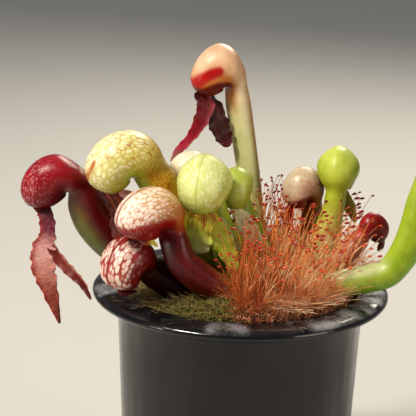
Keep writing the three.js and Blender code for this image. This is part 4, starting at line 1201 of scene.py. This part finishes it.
def stored(label, kind="FLOAT_VECTOR"):
    return plan.geo("InputNamedAttribute", {"Name": label}, data_type=kind)["Attribute"]


def on_stalk(share):
    """The place on a stalk at that share of its height: it starts upright and bends over."""
    bend = plan.vector("SCALE", stored("lean"), plan.math("POWER", share, STALK_BEND))
    rise = plan.xyz(z=stored("height", "FLOAT") * share)
    return plan.vector("ADD", plan.vector("ADD", stored("root"), bend), rise)


closest = 1.0
for share in (0.0, 0.25, 0.5, 0.75, 1.0):
    closest = plan.math("MINIMUM", closest, plan.distance(given["Keep clear of"], on_stalk(share)))
free = plan.without(points, closest < given["Clearance"])
line = plan.geo("ResampleCurve", {0: plan.geo("CurvePrimitiveLine"), "Count": given["Points a stalk"]})
lines = plan.geo("RealizeInstances", {0: plan.geo("InstanceOnPoints", {"Points": free, "Instance": line})})
along_line = plan.geo("SplineParameter")["Factor"]
bent = plan.geo("SetPosition", {"Geometry": lines, "Position": on_stalk(along_line)})
section = plan.geo("CurvePrimitiveCircle", {"Resolution": 3, "Radius": given["Stalk radius"]})
wires = plan.geo("CurveToMesh", {"Curve": bent, "Profile Curve": section})

fruiting = plan.without(free, plan.random(17) > given["Capsule share"])
tips = plan.geo("SetPosition", {"Geometry": fruiting, "Position": on_stalk(1.0)})
nod = plan.vector("ADD", plan.vector("NORMALIZE", stored("lean")), (0.0, 0.0, 0.25))
aimed = plan.add("FunctionNodeAlignRotationToVector", {"Vector": nod}, axis="Z")
girth = given["Capsule radius"]
ball = plan.geo("MeshUVSphere", {"Segments": 6, "Rings": 4, "Radius": girth})
at = plan.split(plan.geo("InputPosition"))
waist = at["Z"] / girth * 0.22 + 0.85
pear = plan.geo("SetPosition", {"Geometry": ball, "Position": plan.xyz(
    at["X"] * waist, at["Y"] * waist, at["Z"] * 1.7 + girth * 1.4)})
pears = plan.geo("InstanceOnPoints", {"Points": tips, "Instance": plan.geo("SetShadeSmooth", {0: pear}),
                                      "Rotation": aimed, "Scale": plan.random(19, 0.75, 1.25)})
both = plan.geo("JoinGeometry", {0: plan.coated(pears, given["Capsule skin"])})
plan.fill(both.node, {0: plan.coated(wires, given["Stalk skin"])})
plan.give({"Stalks": both})


# %% Moss materials
def moss_skin(name, dark, middle, bright):
    """Leaf colour runs from dark at a shoot's root to bright at its leaf tips, with a tone a shoot."""
    material, plan = new_material(name)
    hue = plan.mix(plan.ramp(plan.attribute("tone"), 0.15, 0.85), middle, bright)
    plan.give({"Base Color": plan.mix(plan.ramp(plan.attribute("tip"), 0.0, 0.9), dark, hue),
               "Roughness": 0.8})
    return material


def ground_skin(name, dark, light):
    material, plan = new_material(name)
    grit = plan.noise(plan.place(), 700.0, 5.0, 0.65)
    plan.give({"Base Color": plan.mix(plan.ramp(grit, 0.35, 0.7), dark, light),
               "Roughness": 0.95, "Normal": plan.bump(0.8, 0.6, grit)})
    return material


def wire_skin(name, first, second, third, rough, scatter):
    """Three tones: the first two mixed by stalk, the third in clumps, and more of it on the left."""
    material, plan = new_material(name)
    place = plan.place()
    leftward = plan.ramp(plan.split(place)["X"], 18 * MM, 2 * MM, 0.0, 0.2)
    clump = plan.ramp(plan.noise(place, 110.0, 2.0) + leftward, 0.48, 0.72)
    tone = plan.mix(plan.ramp(plan.attribute("tone"), 0.1, 0.9), first, second)
    plan.give({"Base Color": plan.mix(clump, tone, third), "Roughness": rough,
               "Subsurface Weight": scatter, "Subsurface Scale": 0.5 * MM,
               "Subsurface Radius": (1.0, 0.5, 0.3)})
    return material


stalk_skin = wire_skin("stalk", "FFE4B0", "EC8A40", "C86A30", 0.3, 0.2)
fuzz_skin = wire_skin("fine_stalk", "FFDCB0", "F0985C", "B85A28", 0.45, 0.2)
straw_skin = wire_skin("dry_strand", "8A6A3C", "4A321C", "A89058", 0.7, 0.0)
capsule_skin = wire_skin("capsule", "D8582A", "7A140C", "A83418", 0.1, 0.0)

# %% Grow the moss
guard_points, guard_faces = [], []
for leaf in leaves:
    start = len(guard_points)
    guard_points += [tuple(v.co) for v in leaf.data.vertices]
    guard_faces += [[start + v for v in f.vertices] for f in leaf.data.polygons]
guard = link("pitcher_guard", new_mesh("pitcher_guard", guard_points, guard_faces, 1.0))


def grow_wires(name, ground, seed, **values):
    return grow(name, ground.copy(), stalk_tree, keep_clear_of=guard, seed=seed,
                capsule_skin=capsule_skin, **values)


moss_pieces = []
for node, sign, spacing, ground, fur in (
        ("moss_green", -1, 1.05 * MM, ground_skin("moss_ground_green", "1A140C", "3C3A18"),
         moss_skin("green_moss", "1C180C", "5A5220", "8C9430")),
        ("moss_red", 1, 1.15 * MM, ground_skin("moss_ground_red", "2E160C", "7A4A2A"),
         moss_skin("red_moss", "7A3A1A", "D8885A", "F0B888"))):
    mesh = cushion_mesh(node + "_mound", sign)
    made = [link(node + "_mound", mesh)]
    mesh.materials.append(ground)
    made.append(grow(node + "_shoots", mesh.copy(), shoot_tree, shoot=shoot, keep_clear_of=guard,
                     spacing=spacing, thinning_from_x=-24 * MM, seed=5 + sign, shoot_moss=fur))
    if node == "moss_red":
        made += [grow_wires("moss_red_stalks", mesh, 11, density=0.24e6, shortest=14 * MM, tallest=31 * MM,
                            splay=0.2, stalk_radius=0.115 * MM, capsule_radius=0.56 * MM,
                            stalk_skin=stalk_skin),
                 grow_wires("moss_red_fuzz", mesh, 31, density=1.7e6, shortest=3 * MM, tallest=11 * MM,
                            stalk_radius=0.085 * MM, capsule_share=0.02, points_a_stalk=4,
                            stalk_skin=fuzz_skin)]
    else:
        made.append(grow_wires("moss_green_strands", mesh, 41, density=0.8e6, shortest=1.5 * MM,
                               tallest=5 * MM, stalk_radius=0.075 * MM, capsule_share=0.0,
                               points_a_stalk=5, stalk_skin=straw_skin))
    moss_pieces += [(piece, node) for piece in made]
for piece, node in moss_pieces:
    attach(piece, "root")
    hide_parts(node)
bpy.data.objects.remove(guard)
bpy.data.objects.remove(shoot)
